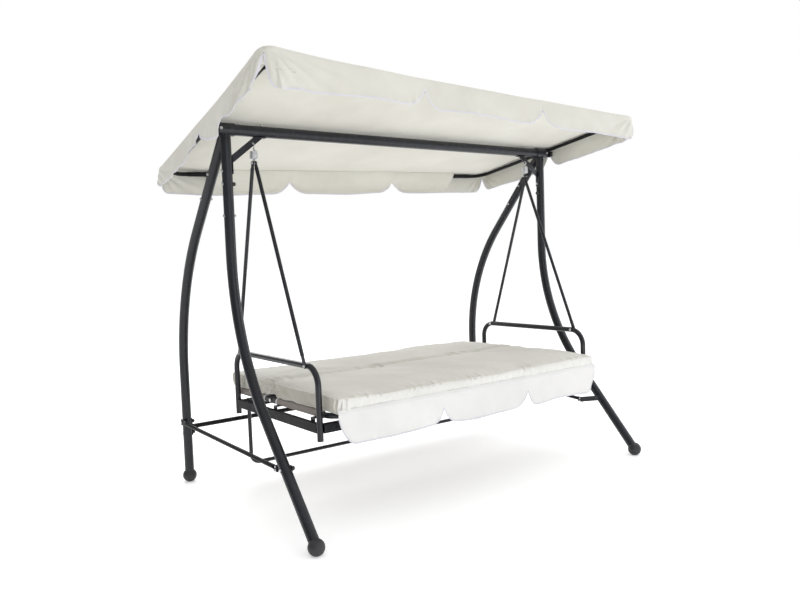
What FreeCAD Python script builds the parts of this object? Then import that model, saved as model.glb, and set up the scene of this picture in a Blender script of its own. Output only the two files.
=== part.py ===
import FreeCAD, Part
import math
import os

# Canopy swing bench: a three-seat garden swing with a fold-flat backrest and a tilting
# fabric canopy, hung by two springs from a tubular frame.
# Millimetres. +Z is up, +X runs along the beam, the front is -Y, and the origin is on the
# ground under the middle of the beam. Everything is mirrored about the plane X = 0, but
# for the canopy: its arms are clamped one by one, the left one steeper than the right one.

V = FreeCAD.Vector
X_AXIS, Y_AXIS, Z_AXIS = V(1, 0, 0), V(0, 1, 0), V(0, 0, 1)
SIDES = (("left", -1), ("right", 1))
FRONT, REAR = -1, 1

# ---------------------------------------------------------------- driving dimensions
GAP = 0.3                    # clearance between parts that meet on curved faces

BEAM_Z = 1600.0              # beam axis above the ground
BEAM_R = 23.5
BEAM_HALF = 985.0
TUBE_WALL = 1.5

LEG_X = 942.0                # plane of each A-frame
LEG_R = 21.5
FOOT_Y = 597.0               # how far each foot stands from the middle
FOOT_R = 32.5
FOOT_Z = 30.0                # centre of the foot ball, whose underside is cut flat
BEND_R = 1000.0              # every leg is the same tube with one bend
BEND_DEG = 41.0
SEAM = 249.0                 # distance from the beam axis to the joint in each leg
SPIGOT = 130.0               # length of the yoke spigot inside the leg
LEG_BOLTS = (222.0, 352.0)   # bolts above and below that joint, from the beam axis
COLLAR_R = 27.0
COLLAR_X0, COLLAR_X1 = 905.0, 979.0
COLLAR_BOLT_X = 971.3

BRACE_T, BRACE_W = 4.0, 27.0
BRACE_RUN, BRACE_DROP = 126.0, 98.0   # how far each corner brace runs along the beam and the leg
BRACE_BOLT_X, BRACE_BOLT_Z = 776.0, 1431.0
DRAIN_R, DRAIN_DROP = 3.5, 38.0       # hole in each yoke under the collar

HOOK_X = 819.0               # springs and hangers
SWING_Z = 1550.0             # the top spring hooks turn about this height
PIN_Z = 1469.0               # the bolts that carry the hanging rods
HOOK_R, HOOK_WIRE = 10.0, 2.5
COIL_R, COIL_TURNS = 14.8, 7
COIL_SINK = 3.5              # the coil sits this much nearer to the lower hook
ROD_R = 8.0
EYE_X = 5.7                  # the eyes of a pair of rods lie this far either side of the hook
ROD_X = 807.0                # rods at the armrests

ARM_X = 791.0                # armrest tubes
ARM_R = 12.5
ARM_Z = 640.0
ARM_FRONT, ARM_REAR = -402.0, 330.0
ARM_BEND = 75.0
POST_FOOT = 355.0
ROD_FRONT, ROD_REAR = -333.0, 262.0   # where the rods are bolted to the armrests

RAIL_W, RAIL_H = 20.0, 37.0           # rectangular tube of the seat base
RAIL_Z = 400.0
REAR_RAIL_Y = 295.0

SLING_X = 757.0              # sling frames of the seat and the backrest
SLING_R = 12.0
SLING_Z = 447.0
SLING_FRONT, SLING_REAR = -440.0, 440.0
SLING_BEND = 60.0
SLEEVE_R, SLEEVE_T = 13.8, 1.5        # fabric sleeves round the legs of the frames
HINGE_Y = 50.0               # recline axis, at SLING_Z
HINGE_R = 12.5
WEB_Z0, WEB_Z1 = 459.3, 460.8        # fabric stretched over the frames
BRACKET_YS = (-330.0, -15.0, 230.0)

CUSHION_X = 762.0
CUSHION_Z0, CUSHION_Z1 = 462.0, 530.0
CUSHION_FRONT, CUSHION_REAR = -498.0, 470.0
CUSHION_NOTCH = 33.0         # half angle of the fold between the cushions, degrees

PROP_X = 735.0               # U-shaped backrest prop
PROP_R = 9.0
PROP_Y, PROP_Z = 340.0, 400.0
PROP_DROP = 300.0
PROP_BEND = 45.0
PROP_REACH = 232.0           # where the raised prop meets the backrest, from the hinge

SIDE_RAIL_R = 9.0            # rails between the legs of each A-frame
RAIL_FRONT_Y, RAIL_FRONT_Z = -275.0, 245.0
RAIL_BOLT_Z = 268.0          # bolt of the front bracket through the front leg
RAIL_REAR_Z = 292.0
BRACKET_T, BRACKET_R = 4.0, 13.0
REAR_BAR_R = 11.0            # bar between the two rear legs
LOWER_BOLT_Z = 238.0
PLATE_T, PLATE_HALF_Y = 2.5, 10.0

TILT_LEFT, TILT_RIGHT = 15.2, 9.2     # front edge up at each canopy arm, degrees
CANOPY_X = 1000.0            # canopy arms
CANOPY_Y = 548.0             # canopy rails
CANOPY_ARM_R = 9.5
CANOPY_RAIL_R = 11.0
CANOPY_ARM_H = 16.0          # arms above the tilt axis
CANOPY_BEND = 80.0
ARM_TAIL = 858.0             # where each bent arm ends inside the canopy rail
CLOTH_T = 3.0
CLOTH_HALF_X, CLOTH_HALF_Y = 1038.0, 572.0
CLOTH_EDGE_H, CLOTH_CROWN_H = 31.0, 39.0
FRONT_VALANCE, REAR_VALANCE, SIDE_VALANCE = 128.0, 108.0, 104.0
SIDE_SPLIT = (8.0, 18.0)     # the side valances are open between these, outside the knobs
SCALLOP = 60.0               # depth of the notches between scallops
SEAT_VALANCE_Z0, SEAT_VALANCE_Z1 = 335.0, 458.0
STUD_R, STUD_END = 4.0, 1028.0
CLAMP_HALF_Y = 17.0
KNOB_X0, KNOB_X1 = 1013.0, 1034.0

os.makedirs("parts", exist_ok=True)


# ---------------------------------------------------------------- helpers
def export(name, shape):
    shape.exportStep("parts/" + name + ".step")
    solids = shape.Solids
    volume = shape.Volume / 1000
    print(f"{name:28s} solids {len(solids):2d} volume {volume:10.2f} cm3 valid {shape.isValid()}")


def mirrored(shape):
    return shape.mirror(V(0, 0, 0), X_AXIS)


def cylinder(start, end, radius):
    direction = end - start
    return Part.makeCylinder(radius, direction.Length, start, direction)


def box(low, high):
    return Part.makeBox(high[0] - low[0], high[1] - low[1], high[2] - low[2], V(*low))


def rounded_path(points, radii):
    """A wire of straight runs joined by tangent arcs, one radius for each inner point."""
    edges = []
    start = points[0]
    for i in range(1, len(points) - 1):
        corner = points[i]
        back = (points[i - 1] - corner).normalize()
        ahead = (points[i + 1] - corner).normalize()
        half = back.getAngle(ahead) / 2.0
        reach = radii[i - 1] / math.tan(half)
        arc_start, arc_end = corner + back * reach, corner + ahead * reach
        middle = (back + ahead).normalize()
        centre = corner + middle * (radii[i - 1] / math.sin(half))
        arc_middle = centre - middle * radii[i - 1]
        if (arc_start - start).Length > 1e-6:
            edges.append(Part.LineSegment(start, arc_start).toShape())
        edges.append(Part.Arc(arc_start, arc_middle, arc_end).toShape())
        start = arc_end
    edges.append(Part.LineSegment(start, points[-1]).toShape())
    return Part.Wire(edges), (points[1] - points[0]).normalize()


def swept(points, radii, radius):
    path, direction = rounded_path(points, radii)
    ring = Part.Wire(Part.makeCircle(radius, points[0], direction))
    return path.makePipeShell([ring], True, False)


def tube(points, radii, radius, wall):
    return swept(points, radii, radius).cut(swept(points, radii, radius - wall))


def straight_tube(start, end, radius, wall):
    return cylinder(start, end, radius).cut(cylinder(start, end, radius - wall))


def screw(start, end, shank_r=3.5, head_r=7.5, head_h=6.5):
    """A hexagon screw whose head bears at start and whose thread stops at end."""
    along = (end - start).normalize()
    shank = cylinder(start - along * 0.5, end, shank_r)
    return shank.fuse(hexagon(start - along * head_h, along, head_r, head_h)).removeSplitter()


def bolt(start, end, shank_r=3.5, head_r=6.5, head_h=4.5, nut_h=5.5):
    """A hexagon bolt whose head bears at start and whose nut bears at end."""
    along = (end - start).normalize()
    body = cylinder(start - along * 0.5, end + along * (nut_h + 3.0), shank_r)
    head = hexagon(start - along * head_h, along, head_r, head_h)
    nut = hexagon(end, along, head_r, nut_h)
    return body.fuse([head, nut]).removeSplitter()


def hexagon(base, along, radius, height):
    side = along.cross(Z_AXIS)
    if side.Length < 0.1:
        side = along.cross(Y_AXIS)
    side.normalize()
    other = along.cross(side)
    corners = []
    for i in range(6):
        angle = math.radians(60 * i)
        corners.append(base + side * (radius * math.cos(angle)) + other * (radius * math.sin(angle)))
    face = Part.Face(Part.makePolygon(corners + [corners[0]]))
    return face.extrude(along * height)


def bolt_hole(start, end, shank_r=3.5):
    along = (end - start).normalize()
    return cylinder(start - along * 10, end + along * 10, shank_r + GAP)


def group(shapes):
    return shapes[0] if len(shapes) == 1 else Part.makeCompound(shapes)


def with_mirror(shapes):
    """A group of the right-hand pieces and their left-hand copies."""
    return group(shapes + [mirrored(item) for item in shapes])


def at(x, y, z):
    return V(x, y, z)


# ---------------------------------------------------------------- A-frame
BEND = math.radians(BEND_DEG)
LEG_SIDE = BEND_R * (1 - math.cos(BEND))              # sideways travel of the bend
LEG_DROP = BEND_R * math.sin(BEND)                    # height of the bend
SLOPE_RUN = (FOOT_Y - LEG_SIDE) / math.tan(BEND)      # height of the sloping straight
STRAIGHT = BEAM_Z - FOOT_Z - LEG_DROP - SLOPE_RUN     # length of the upright straight
BEND_CORNER = BEND_R * math.tan(BEND / 2)


def front_leg_line():
    """Corner points from the beam axis to the front foot."""
    corner_z = BEAM_Z - STRAIGHT - BEND_CORNER
    return [at(LEG_X, 0, BEAM_Z), at(LEG_X, 0, corner_z), at(LEG_X, -FOOT_Y, FOOT_Z)]


def rear_leg_line():
    """Corner points from the beam axis to the rear foot: the same tube, turned over."""
    corner_z = FOOT_Z + STRAIGHT + BEND_CORNER
    return [at(LEG_X, 0, BEAM_Z), at(LEG_X, FOOT_Y, corner_z), at(LEG_X, FOOT_Y, FOOT_Z)]


def leg_along(line, distance):
    """Point on the first straight of a leg, and its direction."""
    along = (line[1] - line[0]).normalize()
    return line[0] + along * distance, along


def leg_y_at(z):
    """Centre of the sloping lower straight of the front leg at a height."""
    return -FOOT_Y + (z - FOOT_Z) * math.tan(BEND)


def leg_tube(line, holes):
    start, along = leg_along(line, SEAM)
    foot = line[2]
    up = (line[1] - foot).normalize()
    end = foot + up * 8.0
    shape = tube([start, line[1], end], [BEND_R], LEG_R, TUBE_WALL)
    for hole in holes:
        shape = shape.cut(hole)
    return shape


def foot_cap(line):
    foot = line[2]
    up = (line[1] - foot).normalize()
    ball = Part.makeSphere(FOOT_R, foot)
    ball = ball.cut(box((foot.x - 50, foot.y - 50, -50), (foot.x + 50, foot.y + 50, 0)))
    socket = cylinder(foot + up * 7.5, foot + up * 60, LEG_R + GAP)
    return ball.cut(socket)


def yoke(lines, holes):
    """Welded head of an A-frame: a collar for the beam, two stubs and two spigots."""
    outer = cylinder(at(COLLAR_X0, 0, BEAM_Z), at(COLLAR_X1, 0, BEAM_Z), COLLAR_R)
    spigot_r = LEG_R - TUBE_WALL - GAP
    parts = []
    bores = [cylinder(at(COLLAR_X0 - 5, 0, BEAM_Z), at(COLLAR_X1 + 5, 0, BEAM_Z), BEAM_R + GAP)]
    for line in lines:
        seam, along = leg_along(line, SEAM)
        parts.append(cylinder(line[0], seam, LEG_R))
        parts.append(cylinder(seam - along, seam + along * SPIGOT, spigot_r))
        bore_start, bore_end = line[0] + along * 64, seam + along * (SPIGOT + 5)
        bores.append(cylinder(bore_start, bore_end, spigot_r - TUBE_WALL))
    shape = outer.fuse(parts).removeSplitter()
    for bore in bores + holes:
        shape = shape.cut(bore)
    return shape


def cross_bolt_ends(centre, radius):
    """Ends of a bolt that crosses a leg along X, its head on the outer side."""
    return at(centre.x + radius, centre.y, centre.z), at(centre.x - radius, centre.y, centre.z)


def brace():
    """Corner brace: a sloping plate on edge with a foot at each end."""
    top_z = BEAM_Z - BEAM_R - GAP
    inner_x = LEG_X - LEG_R - GAP
    low = at(inner_x, 0, top_z - BRACE_DROP)
    high = at(inner_x - BRACE_RUN, 0, top_z)
    along = (high - low).normalize()
    across = V(along.z, 0, -along.x) * (BRACE_W / 2)
    tail = along * 40
    corners = [low - tail + across, high + tail + across, high + tail - across, low - tail - across]
    plate = Part.Face(Part.makePolygon(corners + [corners[0]])).extrude(V(0, BRACE_T, 0))
    plate.translate(V(0, -BRACE_T / 2, 0))
    plate = plate.common(box((600, -10, 1300), (inner_x, 10, top_z)))
    top_foot = box((BRACE_BOLT_X - 13, -13, top_z - 3), (BRACE_BOLT_X + 40, 13, top_z))
    leg_foot = box((inner_x - 2, -11, BRACE_BOLT_Z - 13), (inner_x, 11, low.z + 10))
    shape = plate.fuse([top_foot, leg_foot]).removeSplitter()
    hook_hole = cylinder(at(HOOK_X, -10, SWING_Z), at(HOOK_X, 10, SWING_Z), 4.5)
    return shape.cut(hook_hole)


def bolt_cap(base):
    """Plastic cup pushed over the nut on the inner side of a leg."""
    wall_end = base - X_AXIS * 9.0
    cup = cylinder(base, wall_end, 8.2).fuse(Part.makeCone(8.2, 5.5, 3.0, wall_end, -X_AXIS))
    return cup.removeSplitter().cut(cylinder(base + X_AXIS, base - X_AXIS * 9.2, 7.0))


def leg_bolt(y, z, outer_gap, inner_gap):
    """Ends of a bolt through a leg, with the flat parts it holds on the outer and inner side."""
    return at(LEG_X + LEG_R + outer_gap, y, z), at(LEG_X - LEG_R - inner_gap, y, z)


def build_frame():
    front, rear = front_leg_line(), rear_leg_line()
    seam_bolts = []
    for line in (front, rear):
        for distance in LEG_BOLTS:
            centre, _ = leg_along(line, distance)
            seam_bolts.append(cross_bolt_ends(centre, LEG_R))
    plate_gap, bracket_gap = PLATE_T + GAP, BRACKET_T + GAP
    rear_side = [leg_bolt(FOOT_Y, RAIL_REAR_Z, bracket_gap, plate_gap),
                 leg_bolt(FOOT_Y, LOWER_BOLT_Z, 0, plate_gap)]
    front_side = [leg_bolt(leg_y_at(RAIL_BOLT_Z), RAIL_BOLT_Z, 0, bracket_gap)]
    brace_leg = leg_bolt(0, BRACE_BOLT_Z, 0, 2.3)
    beam_top = (at(BRACE_BOLT_X, 0, BEAM_Z + BEAM_R), at(BRACE_BOLT_X, 0, BEAM_Z - BEAM_R - 2.8))
    beam_side = (at(COLLAR_BOLT_X, -COLLAR_R, BEAM_Z), at(COLLAR_BOLT_X, COLLAR_R, BEAM_Z))

    seam_holes = [bolt_hole(*pair) for pair in seam_bolts]
    legs = {"front": leg_tube(front, seam_holes + [bolt_hole(*pair) for pair in front_side]),
            "rear": leg_tube(rear, seam_holes + [bolt_hole(*pair) for pair in rear_side])}
    drain_z = BEAM_Z - DRAIN_DROP
    drain = cylinder(at(LEG_X, -LEG_R - 5, drain_z), at(LEG_X, -LEG_R + 8, drain_z), DRAIN_R)
    head = yoke((front, rear), seam_holes + [bolt_hole(*brace_leg), bolt_hole(*beam_side), drain])

    beam = straight_tube(at(-BEAM_HALF, 0, BEAM_Z), at(BEAM_HALF, 0, BEAM_Z), BEAM_R, TUBE_WALL)
    for pair in (beam_top, beam_side):
        hole = bolt_hole(*pair)
        beam = beam.cut(hole).cut(mirrored(hole))
    export("top_beam", beam)

    braced = brace().cut(bolt_hole(*brace_leg)).cut(bolt_hole(*beam_top))
    for name, shape in (("front_leg", legs["front"]), ("rear_leg", legs["rear"]), ("leg_yoke", head)):
        export(name + "_right", shape)
        export(name + "_left", mirrored(shape))
    export("corner_braces", with_mirror([braced]))
    export("foot_caps", with_mirror([foot_cap(front), foot_cap(rear)]))

    plug = cylinder(at(BEAM_HALF - 8, 0, BEAM_Z), at(BEAM_HALF, 0, BEAM_Z), BEAM_R - TUBE_WALL - GAP)
    rim = cylinder(at(BEAM_HALF, 0, BEAM_Z), at(BEAM_HALF + 2, 0, BEAM_Z), BEAM_R)
    plug = plug.fuse(rim).removeSplitter()
    stud = cylinder(at(BEAM_HALF - 8, 0, BEAM_Z), at(STUD_END, 0, BEAM_Z), STUD_R)
    export("beam_end_plugs", with_mirror([plug.cut(stud)]))
    export("canopy_studs", with_mirror([stud]))

    ends = seam_bolts + rear_side + front_side + [brace_leg, beam_side]
    export("frame_bolts", with_mirror([bolt(*pair) for pair in ends] + [screw(*beam_top)]))
    capped = [seam_bolts[0]] + rear_side + front_side
    export("bolt_caps", with_mirror([bolt_cap(end) for _, end in capped]))


def link_plate(x, thickness, radius, first, second):
    """Flat link with round ends in a plane of constant X, between two (y, z) points."""
    start, end = at(x, *first), at(x, *second)
    side = (end - start).normalize().cross(X_AXIS) * radius
    outline = [start + side, end + side, end - side, start - side]
    along = X_AXIS * thickness
    middle = Part.Face(Part.makePolygon(outline + [outline[0]])).extrude(along)
    ends = [cylinder(point, point + along, radius) for point in (start, end)]
    return middle.fuse(ends).removeSplitter()


def build_side_rails():
    """The rails between the legs of each A-frame and the brackets at their front ends."""
    inner, outer = LEG_X - LEG_R, LEG_X + LEG_R + GAP
    leg_y = leg_y_at(RAIL_BOLT_Z)
    bracket = link_plate(inner - BRACKET_T, BRACKET_T - GAP, BRACKET_R,
                         (leg_y, RAIL_BOLT_Z), (RAIL_FRONT_Y, RAIL_FRONT_Z))
    bracket = bracket.cut(bolt_hole(at(inner, leg_y, RAIL_BOLT_Z), at(inner - 4, leg_y, RAIL_BOLT_Z)))

    front_tab = box((inner + GAP, RAIL_FRONT_Y - 13, RAIL_FRONT_Z - 13),
                    (inner + BRACKET_T, RAIL_FRONT_Y + 18, RAIL_FRONT_Z + 13))
    rear_tab = box((outer, FOOT_Y - 55, RAIL_REAR_Z - 14),
                   (outer + BRACKET_T, FOOT_Y + 14, RAIL_REAR_Z + 14))
    start = at(inner + 2, RAIL_FRONT_Y + 16, RAIL_FRONT_Z + 3)
    end = at(outer + 2, FOOT_Y - 50, RAIL_REAR_Z)
    bore = cylinder(start, end, SIDE_RAIL_R - 2.5).cut(front_tab).cut(rear_tab)
    rail = cylinder(start, end, SIDE_RAIL_R).fuse([front_tab, rear_tab]).cut(bore)
    rail = rail.removeSplitter()
    rear_hole = bolt_hole(at(outer + 4, FOOT_Y, RAIL_REAR_Z), at(outer, FOOT_Y, RAIL_REAR_Z))
    rail = rail.cut(rear_hole)

    bolts = []
    for dz in (-6.5, 6.5):
        head = at(inner + BRACKET_T, RAIL_FRONT_Y, RAIL_FRONT_Z + dz)
        nut = at(inner - BRACKET_T, RAIL_FRONT_Y, RAIL_FRONT_Z + dz)
        hole = bolt_hole(head, nut, 2.5)
        bracket = bracket.cut(hole)
        rail = rail.cut(hole)
        bolts.append(bolt(head, nut, 2.5, 4.8, 3.2, 4.0))
    export("side_rail_right", rail)
    export("side_rail_left", mirrored(rail))
    export("rail_brackets", with_mirror([bracket]))
    export("rail_bolts", with_mirror(bolts))


def build_rear_bar():
    """The bar between the rear legs, with a plate at each end bolted to the leg."""
    inner = LEG_X - LEG_R
    plate = box((inner - PLATE_T, FOOT_Y - PLATE_HALF_Y, LOWER_BOLT_Z - 14),
                (inner - GAP, FOOT_Y + PLATE_HALF_Y, RAIL_REAR_Z + 14))
    for z in (RAIL_REAR_Z, LOWER_BOLT_Z):
        plate = plate.cut(bolt_hole(at(inner, FOOT_Y, z), at(inner - PLATE_T, FOOT_Y, z)))
    bar_z = (RAIL_REAR_Z + LOWER_BOLT_Z) / 2
    reach = inner - PLATE_T
    bar = straight_tube(at(-reach, FOOT_Y, bar_z), at(reach, FOOT_Y, bar_z), REAR_BAR_R, TUBE_WALL)
    export("rear_bar", bar.fuse([plate, mirrored(plate)]).removeSplitter())


# ---------------------------------------------------------------- springs and hangers
def ring(centre, radius, wire):
    return Part.makeTorus(radius, wire, centre, X_AXIS)


def spring():
    """Close-wound extension spring with a round hook at each end."""
    wire = HOOK_WIRE
    top = SWING_Z + 1.0 - HOOK_R
    bottom = PIN_Z + 3.2
    middle = (top + bottom) / 2 - COIL_SINK
    low = middle - COIL_TURNS * wire
    turns = [Part.makeTorus(COIL_R, wire + 0.15, V(HOOK_X, 0, low + wire * (2 * i + 1)), Z_AXIS)
             for i in range(COIL_TURNS)]
    body = turns[0].fuse(turns[1:])
    parts = []
    for centre_z, sign in ((top, 1), (bottom, -1)):
        coil_z = middle + sign * (COIL_TURNS - 1) * wire
        inner = centre_z - sign * HOOK_R
        parts.append(ring(V(HOOK_X, 0, centre_z), HOOK_R, wire))
        parts.append(cylinder(at(HOOK_X, 0, coil_z), at(HOOK_X, 0, inner), wire))
        parts.append(cylinder(at(HOOK_X, 0, coil_z), at(HOOK_X, COIL_R, coil_z), wire))
        parts.append(Part.makeSphere(wire, V(HOOK_X, 0, coil_z)))
    return body.fuse(parts).removeSplitter()


def hanging_rod(bottom_y, top_x):
    """Tube with a flattened eye at the hanger bolt and one at the armrest."""
    eye_r, half_t = 9.0, 2.5
    top = at(top_x, 0, PIN_Z)
    bottom = at(ROD_X, bottom_y, ARM_Z)
    along = (bottom - top).normalize()
    side = along.cross(X_AXIS).normalize()
    tube_start, tube_end = top + along * 22, bottom - along * 44
    shape = cylinder(tube_start, tube_end, ROD_R)
    shape = shape.cut(cylinder(tube_start + along * 6, tube_end - along * 6, ROD_R - 1.5))
    for centre, end in ((top, tube_start + along * 4), (bottom, tube_end - along * 4)):
        wide, back = side * eye_r, X_AXIS * half_t
        outline = [centre + wide - back, end + wide - back, end - wide - back, centre - wide - back]
        tab = Part.Face(Part.makePolygon(outline + [outline[0]])).extrude(back * 2)
        tip = cylinder(centre - back, centre + back, eye_r)
        shape = shape.fuse([tab, tip])
    shape = shape.removeSplitter()
    for centre in (top, bottom):
        shape = shape.cut(bolt_hole(centre, centre + X_AXIS))
    return shape


def build_hangers():
    coil = spring()
    export("spring_right", coil)
    export("spring_left", mirrored(coil))
    for name, y, dx in (("front_rod", ROD_FRONT, -EYE_X), ("rear_rod", ROD_REAR, EYE_X)):
        rod = hanging_rod(y, HOOK_X + dx)
        export(name + "_right", rod)
        export(name + "_left", mirrored(rod))
    bolts = [bolt(at(HOOK_X + EYE_X + 3, 0, PIN_Z), at(HOOK_X - EYE_X - 3, 0, PIN_Z))]
    for y in (ROD_FRONT, ROD_REAR):
        bolts.append(bolt(at(ROD_X + 3.0, y, ARM_Z), at(ARM_X - ARM_R, y, ARM_Z)))
    export("hanger_bolts", with_mirror(bolts))


# ---------------------------------------------------------------- seat
def armrest():
    points = [at(ARM_X, ARM_FRONT, POST_FOOT), at(ARM_X, ARM_FRONT, ARM_Z),
              at(ARM_X, ARM_REAR, ARM_Z), at(ARM_X, ARM_REAR, POST_FOOT)]
    shape = tube(points, [ARM_BEND, ARM_BEND], ARM_R, TUBE_WALL)
    for y in (ROD_FRONT, ROD_REAR):
        centre = at(ARM_X, y, ARM_Z)
        shape = shape.cut(bolt_hole(*cross_bolt_ends(centre, ARM_R)))
    return shape


def post_cap(y):
    rim = cylinder(at(ARM_X, y, POST_FOOT - 4), at(ARM_X, y, POST_FOOT), ARM_R)
    plug = cylinder(at(ARM_X, y, POST_FOOT), at(ARM_X, y, POST_FOOT + 14), ARM_R - TUBE_WALL - GAP)
    return rim.fuse(plug).removeSplitter()


def hollow_rail(low, high, axis):
    """Rectangular tube between two corners, open along one axis (0 for X, 1 for Y)."""
    inner_low, inner_high = [], []
    for i in range(3):
        inset = -1.0 if i == axis else TUBE_WALL
        inner_low.append(low[i] + inset)
        inner_high.append(high[i] - inset)
    return box(low, high).cut(box(inner_low, inner_high))


def sling_frame(outer_y, hinge_side_y):
    """U-shaped tube whose two legs run in to the recline hinges."""
    points = [at(-SLING_X, hinge_side_y, SLING_Z), at(-SLING_X, outer_y, SLING_Z),
              at(SLING_X, outer_y, SLING_Z), at(SLING_X, hinge_side_y, SLING_Z)]
    return tube(points, [SLING_BEND, SLING_BEND], SLING_R, TUBE_WALL)


def cross_tube(y):
    """Stretcher between the two legs of a sling frame."""
    reach = SLING_X - SLEEVE_R - GAP
    return straight_tube(at(-reach, y, SLING_Z), at(reach, y, SLING_Z), 9.5, TUBE_WALL)


def sling(low_y, high_y):
    """Sling fabric: a flat web over the frame and a sleeve round each of its legs."""
    shape = box((-SLING_X, low_y, WEB_Z0), (SLING_X, high_y, WEB_Z1))
    for sign in (-1, 1):
        start, end = at(sign * SLING_X, low_y, SLING_Z), at(sign * SLING_X, high_y, SLING_Z)
        shape = shape.fuse(straight_tube(start, end, SLEEVE_R, SLEEVE_T))
    return shape.removeSplitter()


def hinge_half(sign):
    """One half of a recline hinge: a toothed disc and an arm that plugs its sling tube."""
    width = SLING_R
    low_x = SLING_X - width if sign < 0 else SLING_X + GAP
    high_x = low_x + width - GAP
    disc = cylinder(at(low_x, HINGE_Y, SLING_Z), at(high_x, HINGE_Y, SLING_Z), HINGE_R)
    near, far = HINGE_Y + sign * 19, HINGE_Y + sign * 42
    link_y = sorted((near, HINGE_Y))
    link = box((low_x, link_y[0], SLING_Z - 8), (high_x, link_y[1], SLING_Z + 8))
    arm_y = sorted((near, far))
    arm = box((SLING_X - width, arm_y[0], SLING_Z - 10), (SLING_X + width, arm_y[1], SLING_Z + 10))
    plug_start = at(SLING_X, far, SLING_Z)
    plug = cylinder(plug_start, plug_start + V(0, sign * 22, 0), SLING_R - TUBE_WALL - GAP)
    shape = disc.fuse([link, arm, plug]).removeSplitter()
    pin = cylinder(at(SLING_X - 30, HINGE_Y, SLING_Z), at(SLING_X + 30, HINGE_Y, SLING_Z), 4.0 + 0.1)
    return shape.cut(pin)


def hinge_pin():
    shank = cylinder(at(SLING_X - 14, HINGE_Y, SLING_Z), at(SLING_X + 14, HINGE_Y, SLING_Z), 4.0)
    heads = []
    for sign in (-1, 1):
        start = at(SLING_X + sign * (SLING_R + 0.3), HINGE_Y, SLING_Z)
        heads.append(cylinder(start, start + V(sign * 3.0, 0, 0), 7.5))
    return shank.fuse(heads).removeSplitter()


def cushion(front, rear, notch_at_rear):
    """Plain block cushion whose hinge-side face leans away from the fold."""
    lean = (CUSHION_Z1 - SLING_Z) * math.tan(math.radians(CUSHION_NOTCH))
    foot = (CUSHION_Z0 - SLING_Z) * math.tan(math.radians(CUSHION_NOTCH))
    low, high = [front, rear], [front, rear]
    if notch_at_rear:
        low[1], high[1] = rear - foot, rear - lean
    else:
        low[0], high[0] = front + foot, front + lean
    points = [at(-CUSHION_X, y, CUSHION_Z0) for y in low]
    points += [at(-CUSHION_X, y, CUSHION_Z1) for y in reversed(high)]
    return Part.Face(Part.makePolygon(points + [points[0]])).extrude(V(2 * CUSHION_X, 0, 0))


def scalloped_sheet(half_x, top, bottom, count, notch, thickness):
    """Flat hanging sheet in the XZ plane with rounded scallops along its lower edge."""
    width = 2 * half_x / count
    corner = min(notch, width / 4)
    bend = corner * (1 - math.sqrt(0.5))
    cursor = at(-half_x, 0, top)
    edges = [Part.LineSegment(cursor, at(-half_x, 0, bottom + corner))]
    for i in range(count):
        left, right = -half_x + i * width, -half_x + (i + 1) * width
        low_left, low_right = at(left + corner, 0, bottom), at(right - corner, 0, bottom)
        edges.append(Part.Arc(at(left, 0, bottom + corner), at(left + bend, 0, bottom + bend), low_left))
        edges.append(Part.LineSegment(low_left, low_right))
        cursor = at(right, 0, bottom + corner)
        edges.append(Part.Arc(low_right, at(right - bend, 0, bottom + bend), cursor))
    edges.append(Part.LineSegment(cursor, at(half_x, 0, top)))
    edges.append(Part.LineSegment(at(half_x, 0, top), at(-half_x, 0, top)))
    outline = Part.Wire([edge.toShape() for edge in edges])
    return Part.Face(outline).extrude(V(0, thickness, 0))


def prop():
    top_z, low_z = PROP_Z, PROP_Z - PROP_DROP
    points = [at(-PROP_X, PROP_Y, top_z + 12), at(-PROP_X, PROP_Y, low_z),
              at(PROP_X, PROP_Y, low_z), at(PROP_X, PROP_Y, top_z + 12)]
    shape = tube(points, [PROP_BEND, PROP_BEND], PROP_R, TUBE_WALL)
    for sign in (-1, 1):
        centre = at(sign * PROP_X, PROP_Y, PROP_Z)
        shape = shape.cut(cylinder(centre - X_AXIS * 20, centre + X_AXIS * 20, 3.6))
    return shape


def prop_bracket():
    """Clevis on the back of the rear rail that carries one leg of the prop."""
    face_y = REAR_RAIL_Y + RAIL_W / 2
    back = box((PROP_X - 14, face_y, PROP_Z - 12), (PROP_X + 14, face_y + 3, RAIL_Z + 18))
    parts = []
    for x in (PROP_X - 14, PROP_X + 11):
        ear = box((x, face_y, PROP_Z - 10), (x + 3, PROP_Y, PROP_Z + 10))
        parts.append(ear.fuse(cylinder(at(x, PROP_Y, PROP_Z), at(x + 3, PROP_Y, PROP_Z), 10.0)))
    shape = back.fuse(parts).removeSplitter()
    return shape.cut(bolt_hole(at(PROP_X + 14, PROP_Y, PROP_Z), at(PROP_X - 14, PROP_Y, PROP_Z)))


def corner_bracket():
    """Angle bracket that joins the front rail to its post."""
    low_y = ARM_FRONT - RAIL_W / 2 - 3
    return box((700, low_y, RAIL_Z - 16), (ARM_X - ARM_R - GAP, low_y + 3, RAIL_Z + 16))


def sling_bracket(y):
    """Angle on the inner face of a side rail that carries a sling frame."""
    inner = ARM_X - RAIL_W / 2 - GAP
    shelf_top = SLING_Z - SLEEVE_R - GAP
    shelf = box((SLING_X - 9, y - 15, shelf_top - 3), (inner, y + 15, shelf_top))
    leg = box((inner - 3, y - 15, RAIL_Z - 12), (inner, y + 15, shelf_top))
    return shelf.fuse(leg).removeSplitter()


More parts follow.
